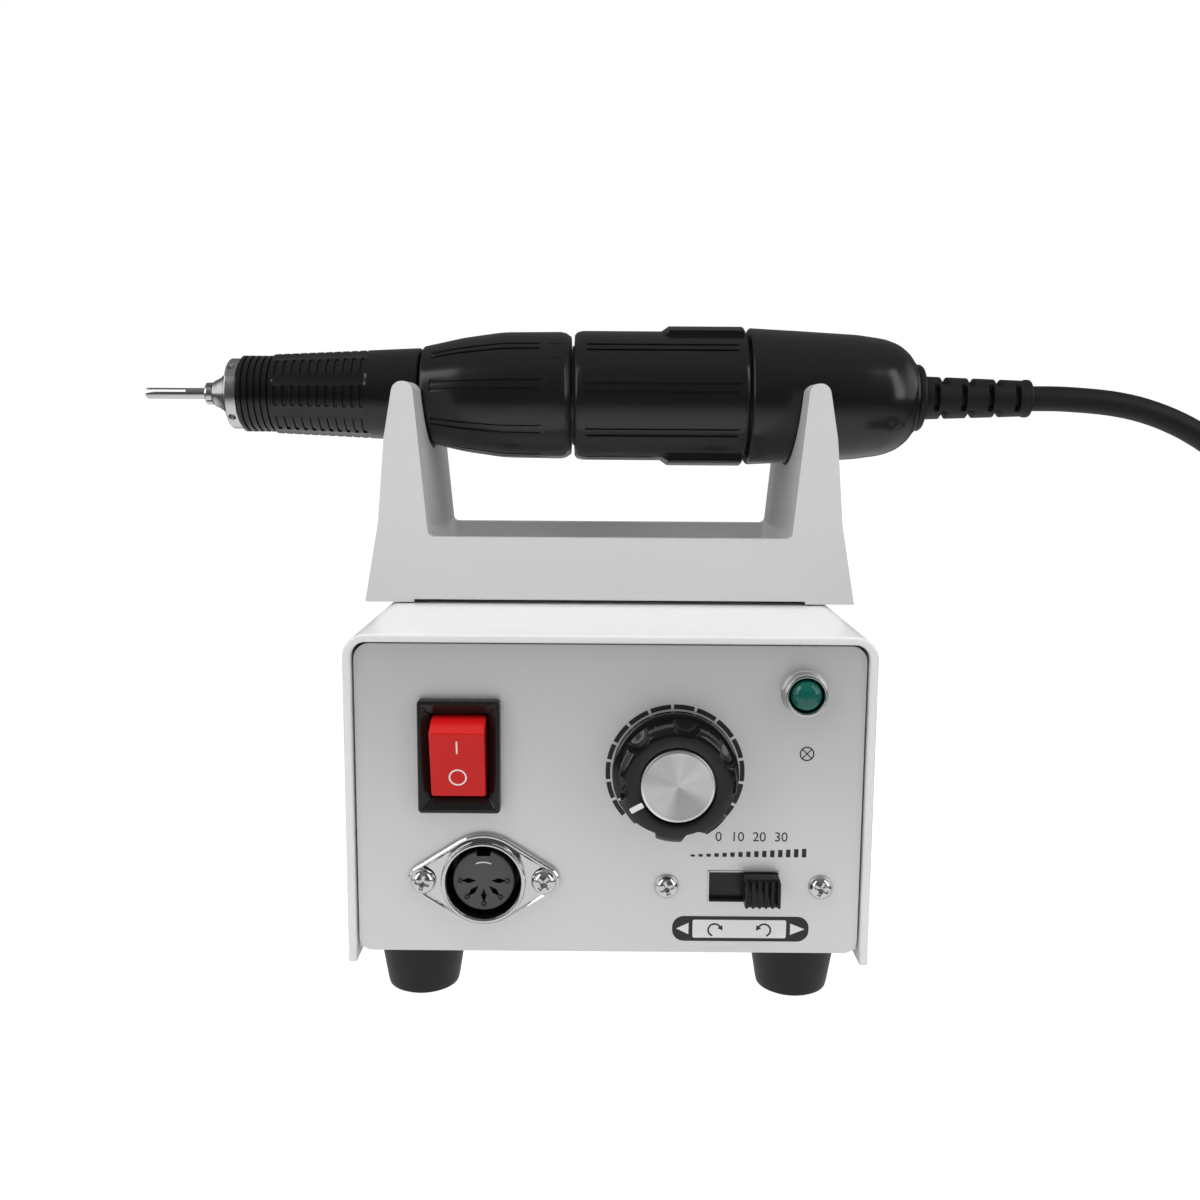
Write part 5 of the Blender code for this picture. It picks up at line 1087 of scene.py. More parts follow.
printSettings = {
    "film": 0.03 * mm, "dialOuter": 12.7, "dialWide": 0.85, "dialShift": (0.0, -0.15), "dialGap": 0.55,
    "gapsAt": (-49, -29, -8.6, 12, 32, 53, 73, 93, 113, 134, 154, 170, 187.5, 204.5, 222),
    "numbers": (("0", -5.4), ("10", -1.9), ("20", 2.1), ("30", 6.1)), "numbersUp": 22.45, "numberTall": 1.75,
    "numbersX": 25.6, "wedge": (15.1, 37.1, 18.55, 20.2), "wedgeBars": 15,
    "badge": (11.9, 37.3, 2.2, 7.05), "field": (15.7, 33.1, 2.85, 6.35), "lampSign": (36.0, 38.2, 1.35),
}


def makePrint(s):
    film, floorZ = s["film"], boxOf("chassis")[0][2]
    origin = np.array([consoleX, panelFace, floorZ])
    low, high = -film, film
    parts, slots = [], []

    def add(outline, ink, top=1.0):
        parts.append(rimMesh("film", np.asarray(outline) * mm, [(0, low), (0, high * top)], origin, "front"))
        slots.append(ink)

    def box(x0, x1, z0, z1, radius):
        return ringOf((x1 - x0) / 2, (z1 - z0) / 2, radius, 5) + ((x0 + x1) / 2, (z0 + z1) / 2)

    def disc(x, z, radius, inner=None, start=0, end=360, steps=48):
        a = np.radians(np.linspace(start, end, steps + 1))
        outer = np.column_stack([x + radius * np.cos(a), z + radius * np.sin(a)])
        if inner is None:
            return outer[:-1]
        return np.vstack([outer, np.column_stack([x + inner * np.cos(a[::-1]), z + inner * np.sin(a[::-1])])])

    cx = (knobCentre[0] - consoleX) / mm + s["dialShift"][0]
    cz = (knobCentre[2] - floorZ) / mm + s["dialShift"][1]
    outer, inner = s["dialOuter"], s["dialOuter"] - s["dialWide"]
    half = math.degrees(s["dialGap"] / 2 / outer)
    for first, last in zip(s["gapsAt"], s["gapsAt"][1:]):
        add(disc(cx, cz, outer, inner, first + half, last - half, 12), 0)

    x0, x1, z0, z1 = s["wedge"]
    pitch = (x1 - x0) / s["wedgeBars"]
    for k in range(s["wedgeBars"]):
        tall = (z1 - z0) * (0.25 + 0.75 * k / (s["wedgeBars"] - 1))
        add(box(x0 + pitch * k, x0 + pitch * (k + 0.55), z0, z0 + tall, 0.05), 0)

    x0, x1, z0, z1 = s["badge"]
    add(box(x0, x1, z0, z1, 2.15), 0)
    add(box(*s["field"], 0.35), 1, 1.5)
    for side in (-1, 1):
        tip, base = (x0 + 0.75, s["field"][0] - 0.75) if side < 0 else (x1 - 0.75, s["field"][1] + 0.75)
        middle = (z0 + z1) / 2
        arrow = [(tip, middle), (base, middle - 1.1), (base, middle + 1.1)]
        add(arrow if side < 0 else [(tip, middle), (base, middle + 1.1), (base, middle - 1.1)], 1, 1.5)
    # Two turning arrows on the white field, one for each way round.
    for side in (-1, 1):
        x, z = (s["field"][0] + s["field"][1]) / 2 + side * 4.6, (z0 + z1) / 2 - 0.25
        start, end = (35, 250) if side < 0 else (-70, 145)
        add(disc(x, z, 1.35, 1.02, start, end, 24), 0, 2)
        a = math.radians(start if side < 0 else end)
        tipX, tipZ = x + 1.18 * math.cos(a), z + 1.18 * math.sin(a)
        along = np.array([math.sin(a), -math.cos(a)]) * (1 if side < 0 else -1)
        across = np.array([math.cos(a), math.sin(a)])
        head = np.array([along * 0.95, across * 0.55, across * -0.55]) + (tipX, tipZ)
        order = head if np.cross(head[1] - head[0], head[2] - head[0]) > 0 else head[::-1]
        add(order, 0, 2)
    # The lamp's sign is a circle with a cross in it.
    x, z, r = s["lampSign"]
    add(disc(x, z, r, r - 0.24), 0)
    for turn in (45, 135):
        a = math.radians(turn)
        out, side = np.array([math.cos(a), math.sin(a)]), np.array([-math.sin(a), math.cos(a)])
        line = [out * r * 0.93 - side * 0.1, out * r * 0.93 + side * 0.1, -out * r * 0.93 + side * 0.1,
                -out * r * 0.93 - side * 0.1]
        add(np.array(line) + (x, z), 0)

    for text, shift in s["numbers"]:
        curve = bpy.data.curves.new("number", "FONT")
        curve.body, curve.size, curve.extrude, curve.align_x = text, s["numberTall"] / 0.69 * mm, film, "CENTER"
        drawn = bpy.data.objects.new("number", curve)
        bpy.context.scene.collection.objects.link(drawn)
        mesh = bpy.data.meshes.new_from_object(drawn.evaluated_get(bpy.context.evaluated_depsgraph_get()))
        bpy.data.objects.remove(drawn, do_unlink=True)
        points = np.empty(len(mesh.vertices) * 3)
        mesh.vertices.foreach_get("co", points)
        points = points.reshape(-1, 3) + np.array([(s["numbersX"] + shift) * mm,
                                                   (s["numbersUp"] - s["numberTall"] / 2) * mm, 0])
        mesh.vertices.foreach_set("co", laid(points, origin, "front").ravel())
        parts.append(mesh)
        slots.append(0)
    makePiece("panelPrint", joinMeshes("panelPrint", parts, slots), [finishes["blackInk"], finishes["whiteInk"]],
              "console")


makePrint(printSettings)
print("panel print ready")

# Rear fittings: the mains inlet with its pins, and the fuse holder with its slotted cap

rearSettings = {
    "inlet": ((14.0, 10.0, 0.6, -19.0), (14.0, 10.0, 0.6, 0.02), (16.6, 12.6, 3.4, 0.03), (16.6, 12.6, 3.4, 1.7),
              (16.45, 12.45, 3.4, 2.1), (16.1, 12.1, 3.3, 2.3), (12.9, 8.9, 1.8, 2.3), (12.55, 8.55, 1.6, 2.15),
              (12.35, 8.35, 1.4, 1.8), (12.3, 8.3, 1.4, -17.3)),
    "pins": ((-7.0, -2.0), (0.0, 2.0), (7.0, -2.0)), "pin": (1.0, 2.0, 0.35, -18.0, -5.0),
    "fuse": ((0, 9.0), (4.7, 9.0), (5.45, 8.35), (5.6, 7.6), (5.6, 2.2), (6.0, 1.95), (7.3, 1.85), (7.6, 1.5),
             (7.6, 0.03), (6.0, 0.03), (6.0, -26.0), (0, -26.0)),
    "flutes": 18, "fluteDepth": 0.28, "slotWide": 1.3, "slotDeep": 1.2, "slotLong": 7.6,
}


def makeRear(s):
    rearFace = boxOf("chassis")[1][1]
    x, _, z = middleOf("mains_inlet")
    place = np.array([x, rearFace, z])
    parts = [loftMesh("shell", inMetres(s["inlet"]), place, "rear")]
    w, h, r, low, high = (v * mm for v in s["pin"])
    for across, up in s["pins"]:
        parts.append(prismMesh("pin", ringOf(w, h, r, 4) + (across * mm, up * mm), low, high, 0.3 * mm, place, "rear",
                               3, False))
    makePiece("mainsInlet", joinMeshes("mainsInlet", parts, [0, 1, 1, 1]),
              [finishes["blackPlastic"], finishes["brass"]],
              "console", ("mains_inlet",), 30)
    x, _, z = middleOf("fuse_holder")
    place = np.array([x, rearFace, z])
    profile = denser(filleted(np.array(s["fuse"]) * mm,
                              [0, 0.5 * mm, 0.5 * mm, 0.3 * mm] + [0.15 * mm] * 5 + [0, 0, 0]), 1 * mm)

    def flutes(along, angle, radius):
        inside = smoothStep(along / mm, 2.3, 2.9) * (1 - smoothStep(along / mm, 7.2, 7.8))
        return s["fluteDepth"] * mm * inside * (0.5 + 0.5 * np.cos(np.radians(angle * s["flutes"])))

    slot = ringOf(s["slotLong"] / 2 * mm, s["slotWide"] / 2 * mm, 0.2 * mm, 3)
    tool = rimMesh("slot", slot, [(0, (9 - s["slotDeep"]) * mm), (0, 12 * mm)], place, "rear")
    holder = cutMesh(turnedMesh("holder", profile, place, "rear", 144, flutes), [tool], "fuseHolder")
    makePiece("fuseHolder", holder, finishes["blackPlastic"], "console", ("fuse_holder",), 30)


makeRear(rearSettings)
print("rear fittings ready")

# The cradle: one moulding, cut for the tray and the two notches, with its edges rounded

cradleSettings = {
    "width": 102.4, "depth": 46.0, "hornHeight": 45.6, "wallHeight": 13.6, "wall": 2.6, "trayFloor": 2.4,
    "trayWidth": 75.6, "tipWidth": 3.9, "tipRound": 2.2, "bowRound": 13.7,
    "outer": ((1.0, 0.0), (0.941, 0.37), (0.912, 0.75), (0.873, 1.0)),
    "relief": 0.6, "reliefShare": 0.8, "axisHeight": 43.3, "leadIn": 1.5, "leftRadius": 11.66, "rightRadius": 14.99,
    "screwApart": 50.0, "screwHole": 2.3, "edge": 1.0,
}


def makeCradle(s):
    half, tray, top = s["width"] / 2, s["trayWidth"] / 2, s["hornHeight"]
    base = handAxis[2] / mm - s["axisHeight"]
    origin = np.array([consoleX, handAxis[1], base * mm])
    side = [(half * across, top * up) for across, up in s["outer"]]
    side += [(side[-1][0] - s["tipWidth"], top), (tray, s["wallHeight"])]
    corners = np.array(side + [(-x, z) for x, z in reversed(side)])
    rounds = [0.2, s["bowRound"], s["bowRound"], s["tipRound"], s["tipRound"], 1.3]
    outline = filleted(corners * mm, np.array(rounds + rounds[::-1]) * mm, closed=True, steps=8)
    body = rimMesh("cradleBody", outline, [(0, -s["depth"] / 2 * mm), (0, s["depth"] / 2 * mm)], origin, "front")

    deep, floor, rim = s["depth"] / 2 - s["wall"], s["trayFloor"], s["wallHeight"]
    well = loftMesh("well", [(w * mm, d * mm, r * mm, h * mm) for w, d, r, h in (
        (tray - 1.1, deep - 1.1, 0.6, floor), (tray - 0.35, deep - 0.35, 1.1, floor + 0.3),
        (tray, deep, 1.3, floor + 1.0),
        (tray, deep, 1.3, rim + 2))], origin, "top")
    under = loftMesh("under", [(half * s["reliefShare"] * mm, 40 * mm, 0.1 * mm, h * mm) for h in (-3, s["relief"])],
                     origin, "top")
    tools = [well, under]
    for radius, start, end in ((s["leftRadius"], -half - 3, -tray / 2), (s["rightRadius"], tray / 2, half + 3)):
        a = np.linspace(math.pi, 2 * math.pi, 41)
        lip = top - s["axisHeight"]
        notch = [*zip(radius * np.cos(a), radius * np.sin(a)), (radius, lip - s["leadIn"]),
                 (radius + s["leadIn"] + 2, lip + 2), (-radius - s["leadIn"] - 2, lip + 2),
                 (-radius, lip - s["leadIn"])]
        tools.append(rimMesh("notch", np.array(notch) * mm, [(0, start * mm), (0, end * mm)],
                             origin + (0, 0, s["axisHeight"] * mm), "right"))
    for x in (-s["screwApart"] / 2, s["screwApart"] / 2):
        hole = np.array([(0, -2), (s["screwHole"], -2), (s["screwHole"], 6), (0, 6)]) * mm
        tools.append(turnedMesh("hole", hole, origin + (x * mm, 0, 0), "top", 32))
    mesh = cutMesh(body, tools, "cradleBody")
    shape = bmesh.new()
    shape.from_mesh(mesh)
    bmesh.ops.remove_doubles(shape, verts=shape.verts, dist=0.005 * mm)
    bmesh.ops.dissolve_limit(shape, angle_limit=math.radians(0.4), verts=shape.verts, edges=shape.edges)
    shape.to_mesh(mesh)
    shape.free()
    cradle = makePiece("cradleMoulding", mesh, finishes["cradlePlastic"], "console", ("cradle",))
    mesh.shade_smooth()
    rounding = cradle.modifiers.new("edges", "BEVEL")
    rounding.width, rounding.segments, rounding.limit_method = s["edge"] * mm, 4, "ANGLE"
    rounding.angle_limit, rounding.harden_normals = math.radians(38), True
    rounding.use_clamp_overlap = True


makeCradle(cradleSettings)
print("cradle ready")

# The handpiece: surfaces turned round its axis, whose grooves and flats are reliefs. Lengths run in mm from the
# joint of collar and motor, and an angle of 0 looks to the front, 90 up.

handFacing = np.array([[0, -1, 0], [0, 0, 1], [1, 0, 0]], float)


def around(step, edges=()):
    # angles round the axis: an even step, and two close together at each edge given as (angle, half gap)
    even = np.arange(0, 360, step)
    if not len(edges):
        return even
    edges = np.asarray(edges, float)
    close = np.concatenate([edges[:, 0] - edges[:, 1], edges[:, 0] + edges[:, 1]]) % 360
    apart = np.abs(angleApart(even[:, None], close[None])).min(axis=1)
    return np.unique(np.round(np.concatenate([even[apart > step * 0.3], close]), 3))


def rowsAt(start, end, step, *near):
    # places along the axis: an even step, and those named
    at = np.concatenate([np.linspace(start, end, max(2, round((end - start) / step) + 1)), *near])
    at = np.unique(np.round(at, 3))
    at = at[(at >= start) & (at <= end)]
    return at[np.concatenate([[True], np.diff(at) > 0.02])]


def alongHand(name, along, shape, rounding, inner, angles, relief=None):
    # the outer radius at each place comes from the rounded shape, and the inner points lead back to the start
    curve = filleted(np.array(shape, float), rounding, steps=8)
    outer = np.column_stack([np.interp(along, curve[:, 0], curve[:, 1]), along])
    profile = np.vstack([outer, np.array([(r, x) for x, r in inner])]) * mm
    return turnedMesh(name, profile, handAxis, handFacing, angles, relief, closed=True)


def capsule(x, across, start, end, half, soft=0.05):
    # 1 inside a straight groove with round ends, 0 outside
    beyond = np.maximum(np.maximum(start + half - x, x - end + half), 0)
    return 1 - smoothStep(np.hypot(beyond, across), half - soft, half + soft)


noseSettings = {
    "shape": ((-80.2, 2.65), (-80.05, 2.8), (-78.8, 3.35), (-77.4, 4.5), (-76.25, 5.95), (-76.2, 7.45),
              (-75.95, 7.7), (-73.85, 7.7), (-73.6, 7.5)),
    "rounding": (0, 0.1, 6, 4, 0.1, 0.1, 0.15, 0.15, 0),
    "inner": ((-73.6, 5.6), (-68.3, 5.6), (-68.3, 3.6), (-75.8, 3.6), (-75.8, 2.2), (-80.2, 2.2)),
    "holeAt": -74.95, "holeRadius": 0.72, "holeDepth": 1.3, "holes": 4, "firstHole": 47.5,
}


def makeNose(s):
    centres = (s["firstHole"] + 360 / s["holes"] * np.arange(s["holes"])) % 360
    x0, r = s["holeAt"], s["holeRadius"]

    def holes(along, angle, radius):
        away = np.min([np.abs(angleApart(angle, c)) for c in centres], axis=0)
        apart = np.hypot(along / mm - x0, np.radians(away) * radius / mm)
        return s["holeDepth"] * mm * (1 - smoothStep(apart, r - 0.08, r + 0.08)) * (radius > 7 * mm)

    near = [(c + k * 0.9, 0) for c in centres for k in range(-8, 9)]
    along = rowsAt(-80.2, -73.6, 0.3, np.arange(x0 - 0.96, x0 + 0.97, 0.12),
                   [-76.25, -76.2, -76.1, -75.95, -73.85, -73.7])
    mesh = alongHand("noseCone", along, s["shape"], s["rounding"], s["inner"], around(2.5, near), holes)
    makePiece("noseCone", mesh, finishes["turnedSteel"], "handpiece", ("nose_cone",), 30)


makeNose(noseSettings)

gripSettings = {
    "start": -73.3, "end": -33.8, "shape": ((-66.3, 8.68), (-50.0, 9.44), (-34.2, 10.2), (-33.8, 9.8)),
    "ridges": 5, "ridgePitch": 1.42,
    "ridge": ((0, 8.2), (0.07, 8.35), (0.8, 8.35), (0.87, 8.22), (0.97, 7.82), (1.3, 7.8)),
    "slotAt": -64.75, "slots": 11, "slotPitch": 1.88, "slotHalf": 0.35, "slotDepth": 0.42,
    "bands": 8, "firstBand": 41.0, "bandHalf": 14.0, "flatHalf": 9.5, "flatFrom": -65.6, "flatTo": -45.0,
    "inner": ((-33.8, 7.1), (-48.1, 7.1), (-48.1, 3.7), (-68.0, 3.7), (-68.0, 5.9), (-73.3, 5.9)),
}


def makeGrip(s):
    ridge = np.array(s["ridge"])
    ridges = np.vstack([ridge + (s["start"] + s["ridgePitch"] * k, 0) for k in range(s["ridges"])])
    middles = s["slotAt"] + s["slotPitch"] * np.arange(s["slots"])
    steps = np.array([-0.42, -0.35, -0.28, 0, 0.28, 0.35, 0.42]) * s["slotHalf"] / 0.35
    plain = rowsAt(-66.18, s["end"], 1.2, (middles[:, None] + steps).ravel(), [s["flatFrom"], s["flatFrom"] + 0.3,
                   s["flatTo"] - 0.3, s["flatTo"], -34.2, -34.05, -33.9])
    curve = filleted(np.array(s["shape"]), [0, 0, 0.3, 0], steps=6)
    body = np.column_stack([plain, np.interp(plain, curve[:, 0], curve[:, 1])])
    outer = np.vstack([ridges, body])[:, ::-1]
    profile = np.vstack([outer, np.array([(r, x) for x, r in s["inner"]])]) * mm
    pitch = 360 / s["bands"]

    def relief(along, angle, radius):
        x = along / mm
        band = np.abs(angleApart(angle * s["bands"], s["firstBand"] * s["bands"])) / s["bands"]
        slot = np.abs((x - s["slotAt"] + s["slotPitch"] / 2) % s["slotPitch"] - s["slotPitch"] / 2)
        inRow = (x > middles[0] - 0.6) & (x < middles[-1] + 0.6)
        slots = (1 - smoothStep(slot, s["slotHalf"] - 0.06, s["slotHalf"] + 0.06)) * inRow
        slots = slots * (1 - smoothStep(band, s["bandHalf"] - 0.4, s["bandHalf"] + 0.4)) * s["slotDepth"] * mm
        flat = pitch / 2 - band
        ends = smoothStep(x, s["flatFrom"], s["flatFrom"] + 0.3) * (1 - smoothStep(x, s["flatTo"] - 0.3, s["flatTo"]))
        lean = np.cos(np.radians(np.minimum(flat, s["flatHalf"])))
        level = radius * (1 - math.cos(math.radians(s["flatHalf"])) / lean)
        return (slots + np.maximum(level, 0) * ends * 1.6) * (radius > 8 * mm)

    edges = []
    for k in range(s["bands"]):
        centre = s["firstBand"] + pitch * k
        edges += [(centre - s["bandHalf"], 0.35), (centre + s["bandHalf"], 0.35)]
        edges += [(centre + pitch / 2 - s["flatHalf"], 0.0), (centre + pitch / 2 + s["flatHalf"], 0.0)]
    mesh = turnedMesh("noseGrip", profile, handAxis, handFacing, around(2.0, edges), relief, closed=True)
    makePiece("noseGrip", mesh, finishes["gripFinish"], "handpiece", ("nose_grip",), 28)


makeGrip(gripSettings)


def pairLines(pairs, first, apart):
    centres = first + 360 / pairs * np.arange(pairs)
    return np.concatenate([centres - apart, centres + apart]) % 360


collarSettings = {
    "shape": ((-33.3, 10.3), (-33.0, 10.62), (-24.5, 12.5), (-15.75, 13.75), (-3.1, 13.9), (-1.9, 13.62),
              (-0.8, 12.85)),
    "rounding": (0, 0.15, 40, 30, 1.5, 0.8, 0), "inner": ((-0.8, 9.6), (-33.3, 9.6)),
    "pairs": 9, "firstPair": 8.5, "apart": 3.6, "lineHalf": 0.25, "lineDepth": 0.36, "from": -31.1, "to": -7.3,
    "marksAt": -4.1, "markAngles": (9, 35, 53), "markRise": 0.13,
}


def makeCollar(s):
    lines = pairLines(s["pairs"], s["firstPair"], s["apart"])

    def grooves(along, angle, radius):
        away = np.min([np.abs(angleApart(angle, line)) for line in lines], axis=0)
        across = np.radians(away) * radius / mm
        return s["lineDepth"] * mm * capsule(along / mm, across, s["from"], s["to"], s["lineHalf"]) * (radius > 10 * mm)

    half = math.degrees(s["lineHalf"] / 12.6)
    edges = [(line + side * half, 0.22) for line in lines for side in (-1, 1)] + [(line, 0) for line in lines]
    ends = np.array([0, 0.06, 0.15, 0.25, 0.4])
    along = rowsAt(-33.3, -0.8, 1.1, s["from"] + ends, s["to"] - ends, [-33.2, -33.1, -33.0, -32.9],
                   np.arange(-3.6, -0.8, 0.22))
    parts = [alongHand("collar", along, s["shape"], s["rounding"], s["inner"], around(2.5, edges), grooves)]
    for number, angle in enumerate(s["markAngles"]):
        a = math.radians(angle)
        out = np.array([0, -math.cos(a), math.sin(a)])
        facing = np.array([[1, 0, 0], np.cross(out, [1, 0, 0]), out])
        place = handAxis + (s["marksAt"] * mm, 0, 0) + out * 13.88 * mm
        low, high = -0.25 * mm, s["markRise"] * mm
        if number == 0:
            ring = np.array([(1.3, low / mm), (1.3, high / mm), (0.95, high / mm), (0.95, low / mm)]) * mm
            parts.append(turnedMesh("mark", ring, place, facing, 40, closed=True))
        else:
            bar = ringOf(1.4 * mm, (0.2 + 0.12 * number) * mm, 0.2 * mm, 4)
            parts.append(rimMesh("mark", bar, [(0, low), (0, high - 0.05 * mm), (0.05 * mm, high)], place, facing))
    makePiece("lockCollar", joinMeshes("lockCollar", parts), finishes["motorPlastic"], "chuck_collar",
              ("lock_collar",), 30)


makeCollar(collarSettings)

sleeveSettings = {
    "shape": ((0, 13.25), (0.5, 13.85), (1.8, 14.15), (36.7, 14.15), (37.4, 13.95), (37.7, 13.6)),
    "rounding": (0, 0.6, 1.2, 0.8, 0.3, 0), "inner": ((37.7, 12.5), (0, 12.5)),
    "pairs": 9, "firstPair": 6.0, "apart": 3.5, "lineHalf": 0.25, "lineDepth": 0.36, "from": 2.5, "to": 35.4,
    "padRise": 1.1, "padFrom": 19.0, "padSlope": 1.6, "padTo": 37.25, "padHalf": (22.9, 24.6), "shortTo": 17.2,
}


def makeSleeve(s):
    lines = pairLines(s["pairs"], s["firstPair"], s["apart"])
    near = [min(abs(angleApart(line, 90)), abs(angleApart(line, 270))) < 31 for line in lines]

    def relief(along, angle, radius):
        x = along / mm
        depth = 0
        for line, short in zip(lines, near):
            across = np.radians(np.abs(angleApart(angle, line))) * radius / mm
            depth = np.maximum(depth, capsule(x, across, s["from"], s["shortTo"] if short else s["to"], s["lineHalf"]))
        pad = np.minimum(np.abs(angleApart(angle, 90)), np.abs(angleApart(angle, 270)))
        raised = (1 - smoothStep(pad, *s["padHalf"])) * np.clip((x - s["padFrom"]) / s["padSlope"], 0, 1)
        raised = raised * np.sqrt(np.clip(1 - ((x - s["padTo"] + 0.9) / 0.9).clip(0, 1) ** 2, 0, 1))
        return (s["lineDepth"] * depth - s["padRise"] * raised) * mm * (radius > 13 * mm)

    half = math.degrees(s["lineHalf"] / 14.15)
    edges = [(line + side * half, 0.2) for line in lines for side in (-1, 1)] + [(line, 0) for line in lines]
    edges += [(middle + side * a, 0) for middle in (90, 270) for side in (-1, 1)
              for a in (22.9, 23.4, 23.8, 24.2, 24.6)]
    ends = np.array([0, 0.06, 0.15, 0.25, 0.4])
    along = rowsAt(0, 37.7, 1.2, s["from"] + ends, s["to"] - ends, s["shortTo"] - ends, np.arange(0, 2.2, 0.2),
                   [18.9, 19.0, 19.1, 20.5, 20.6, 20.7], np.arange(36.3, 37.7, 0.12))
    mesh = alongHand("motorSleeve", along, s["shape"], s["rounding"], s["inner"], around(2.5, edges), relief)
    makePiece("motorSleeve", mesh, finishes["motorPlastic"], "handpiece", ("motor_sleeve",), 30)


makeSleeve(sleeveSettings)

tailSettings = {
    "cap": ((38.1, 14.6), (38.45, 14.95), (50.0, 14.35), (62.1, 13.65), (68.4, 12.75), (71.4, 11.55), (73.4, 9.95),
            (74.35, 8.75), (74.45, 8.3), (75.0, 7.9)),
    "capRounding": (0, 0.2, 40, 25, 14, 6, 4, 0.3, 0.2, 0),
    "capInner": ((75.0, 4.9), (72.8, 4.9), (72.8, 8.3), (68.4, 10.5), (50.4, 12.5), (38.1, 12.5)),
    "gland": ((3.0, 71.8), (4.6, 71.8), (4.6, 75.3), (7.3, 75.3), (7.3, 76.3), (6.9, 76.8), (3.0, 76.8)),
    "relief": ((0, 69.1), (2.7, 69.1), (2.7, 77.1), (4.75, 77.1), (3.95, 99.4), (4.15, 99.7), (4.15, 100.6),
               (3.95, 100.9), (0, 100.9)),
    "notchAt": 81.6, "notches": 3, "pitch": 6.0, "notchHalf": 0.85, "notchDepth": 1.25, "notchSpan": 52,
    "slotAt": 79.6, "slots": 4, "slotHalf": 0.55, "slotReach": 2.9, "slotDepth": 1.5,
}


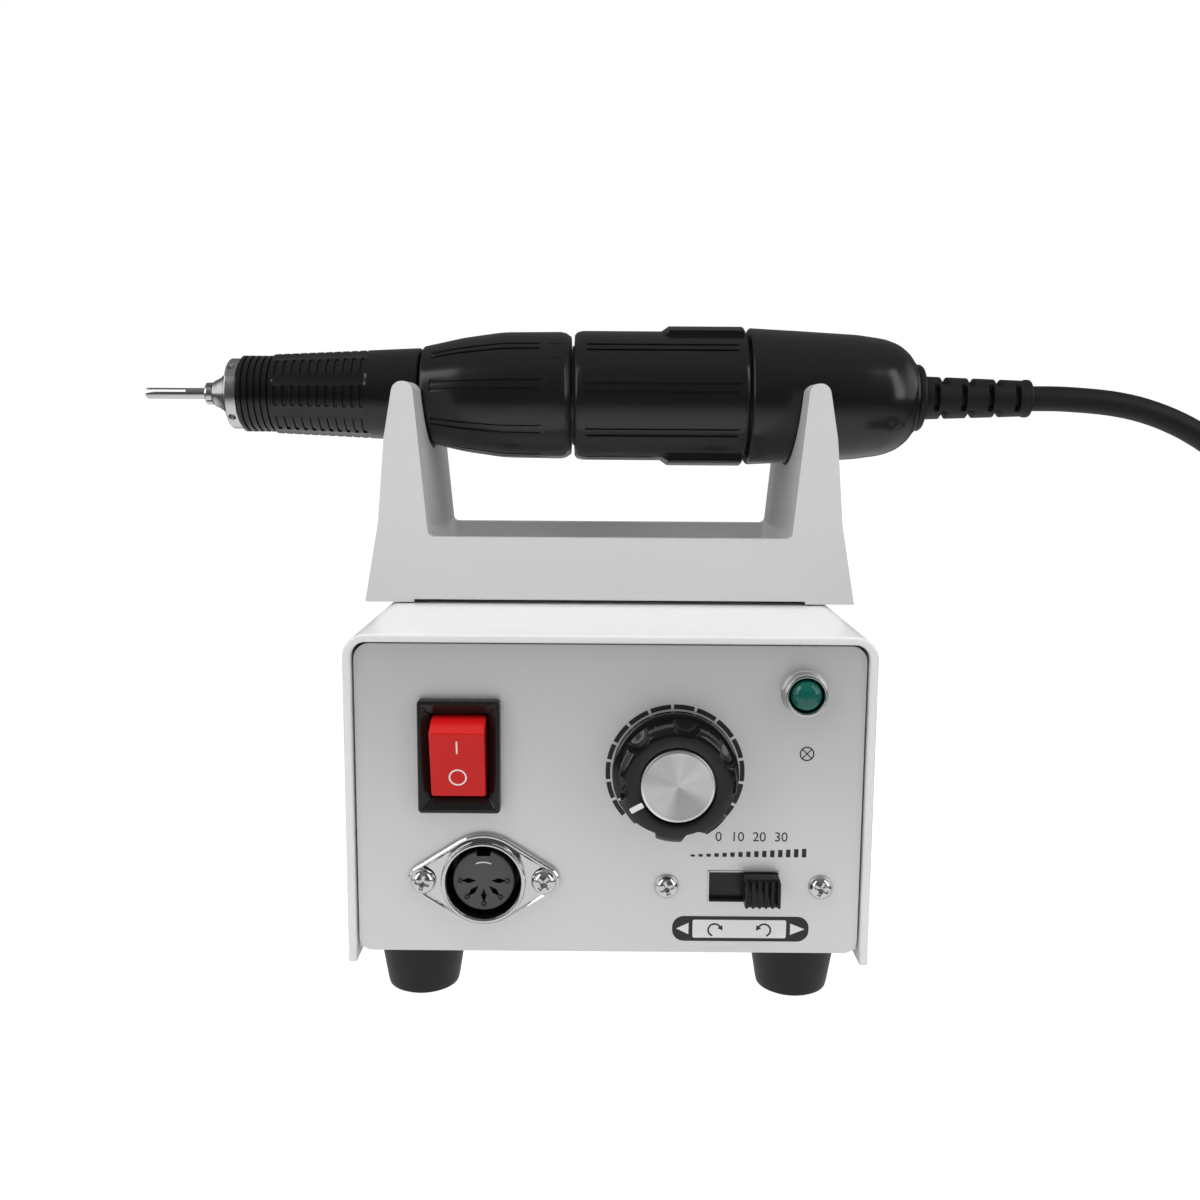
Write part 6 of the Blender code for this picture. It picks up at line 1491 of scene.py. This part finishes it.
def makeTail(s):
    along = rowsAt(38.1, 75.0, 1.2, [38.15, 38.2, 38.3, 38.45, 38.6], np.arange(66, 74.3, 0.5),
                   [74.35, 74.4, 74.45, 74.55, 74.8])
    cap = alongHand("rearCap", along, s["cap"], s["capRounding"], s["capInner"], around(2.5))
    makePiece("rearCap", cap, finishes["motorPlastic"], "handpiece", ("rear_cap",), 30)
    gland = filleted(np.array(s["gland"]) * mm, 0.2 * mm, closed=True, steps=4)
    makePiece("glandRing", turnedMesh("glandRing", gland, handAxis, handFacing, 120, closed=True), finishes["rubber"],
              "handpiece", ("gland_ring",), 30)

    def relief(along, angle, radius):
        x = along / mm
        upright = np.minimum(np.abs(angleApart(angle, 90)), np.abs(angleApart(angle, 270)))
        notch = np.abs(x[..., None] - s["notchAt"] - s["pitch"] * np.arange(s["notches"])).min(axis=-1)
        notch = (1 - notch / s["notchHalf"]).clip(0, 1) * (1 - smoothStep(upright, s["notchSpan"] - 7, s["notchSpan"]))
        across = np.abs(np.sin(np.radians(angle))) * radius / mm
        slot = np.abs(x[..., None] - s["slotAt"] - s["pitch"] * np.arange(s["slots"])).min(axis=-1)
        beyond = np.maximum(across - s["slotReach"] + s["slotHalf"], 0)
        slot = 1 - smoothStep(np.hypot(slot, beyond), s["slotHalf"] - 0.07, s["slotHalf"] + 0.07)
        return np.maximum(notch * s["notchDepth"], slot * s["slotDepth"]) * mm * (radius > 3.4 * mm) * (x > 77.2)

    profile = filleted(np.array(s["relief"]) * mm, [0, 0, 0, 0.3 * mm, 0.2 * mm, 0.1 * mm, 0.2 * mm, 0.2 * mm, 0],
                       steps=3)
    slots = s["slotAt"] + s["pitch"] * np.arange(s["slots"])
    notches = s["notchAt"] + s["pitch"] * np.arange(s["notches"])
    steps = s["slotHalf"] * np.array([-1.13, -0.87, -0.5, 0, 0.5, 0.87, 1.13])
    wide = s["notchHalf"] * np.array([-1.05, -1, -0.5, 0, 0.5, 1, 1.05])
    at = rowsAt(77.4, 99.3, 0.8, (slots[:, None] + steps).ravel(), (notches[:, None] + wide).ravel())
    outer = np.column_stack([np.interp(at, (77.1, 99.4), (4.75, 3.95)), at]) * mm
    cut = int(np.argmax(profile[:, 0] > 4.5 * mm))
    start = profile[:cut + 5]
    start = start[start[:, 1] < 77.4 * mm]
    rest = profile[profile[:, 1] > 99.3 * mm]
    profile = np.vstack([start, outer, rest])
    makePiece("strainRelief", turnedMesh("strainRelief", profile, handAxis, handFacing, around(3.0), relief),
              finishes["rubber"], "handpiece", ("strain_relief",), 32)


makeTail(tailSettings)

chuckSettings = {
    "mandrel": ((0, -95.5), (0.85, -95.5), (1.1, -95.35), (1.175, -95.1), (1.175, -66.1), (0, -66.1)),
    "slit": (0.5, 9.0, 0.3),  # width, length, height over the axis
    "collet": ((0, -65.8), (1.475, -65.8), (1.475, -82.1), (2.05, -82.1), (2.35, -81.9), (2.4, -81.6), (2.4, -80.5),
               (1.9, -80.5), (1.9, -63.5), (0, -63.5)),
    "slots": 4, "slotHalf": 0.2,
}


def makeChuck(s):
    mandrel = turnedMesh("mandrel", np.array(s["mandrel"]) * mm, handAxis, handFacing, 48)
    wide, long, up = s["slit"]
    tool = loftMesh("slit", [(3 * mm, wide / 2 * mm, 0.02 * mm, x * mm) for x in (-97, -95.5 + long)],
                    handAxis + (0, 0, (up + wide / 2) * mm), handFacing)
    makePiece("mandrelRod", cutMesh(mandrel, [tool], "mandrelRod"), finishes["chrome"], "collet",
              ("mandrel",), 30)

    def slots(along, angle, radius):
        away = np.abs(angleApart(angle * s["slots"], 180)) / s["slots"]
        across = np.radians(away) * radius / mm
        inside = (1 - smoothStep(across, s["slotHalf"] - 0.04, s["slotHalf"] + 0.04)) * (along < -80.4 * mm)
        return np.maximum(radius - 1.49 * mm, 0) * inside * (radius > 1.6 * mm)

    half = math.degrees(s["slotHalf"] / 2.4)
    edges = [(45 + 90 * k + side * half, 1.0) for k in range(4) for side in (-1, 1)]
    profile = denser(filleted(np.array(s["collet"]) * mm, 0.05 * mm), 1 * mm)
    makePiece("colletJaws", turnedMesh("colletJaws", profile, handAxis, handFacing, around(4.0, edges), slots),
              finishes["turnedSteel"], "collet", ("collet_jaws",), 30)


makeChuck(chuckSettings)
print("handpiece ready")
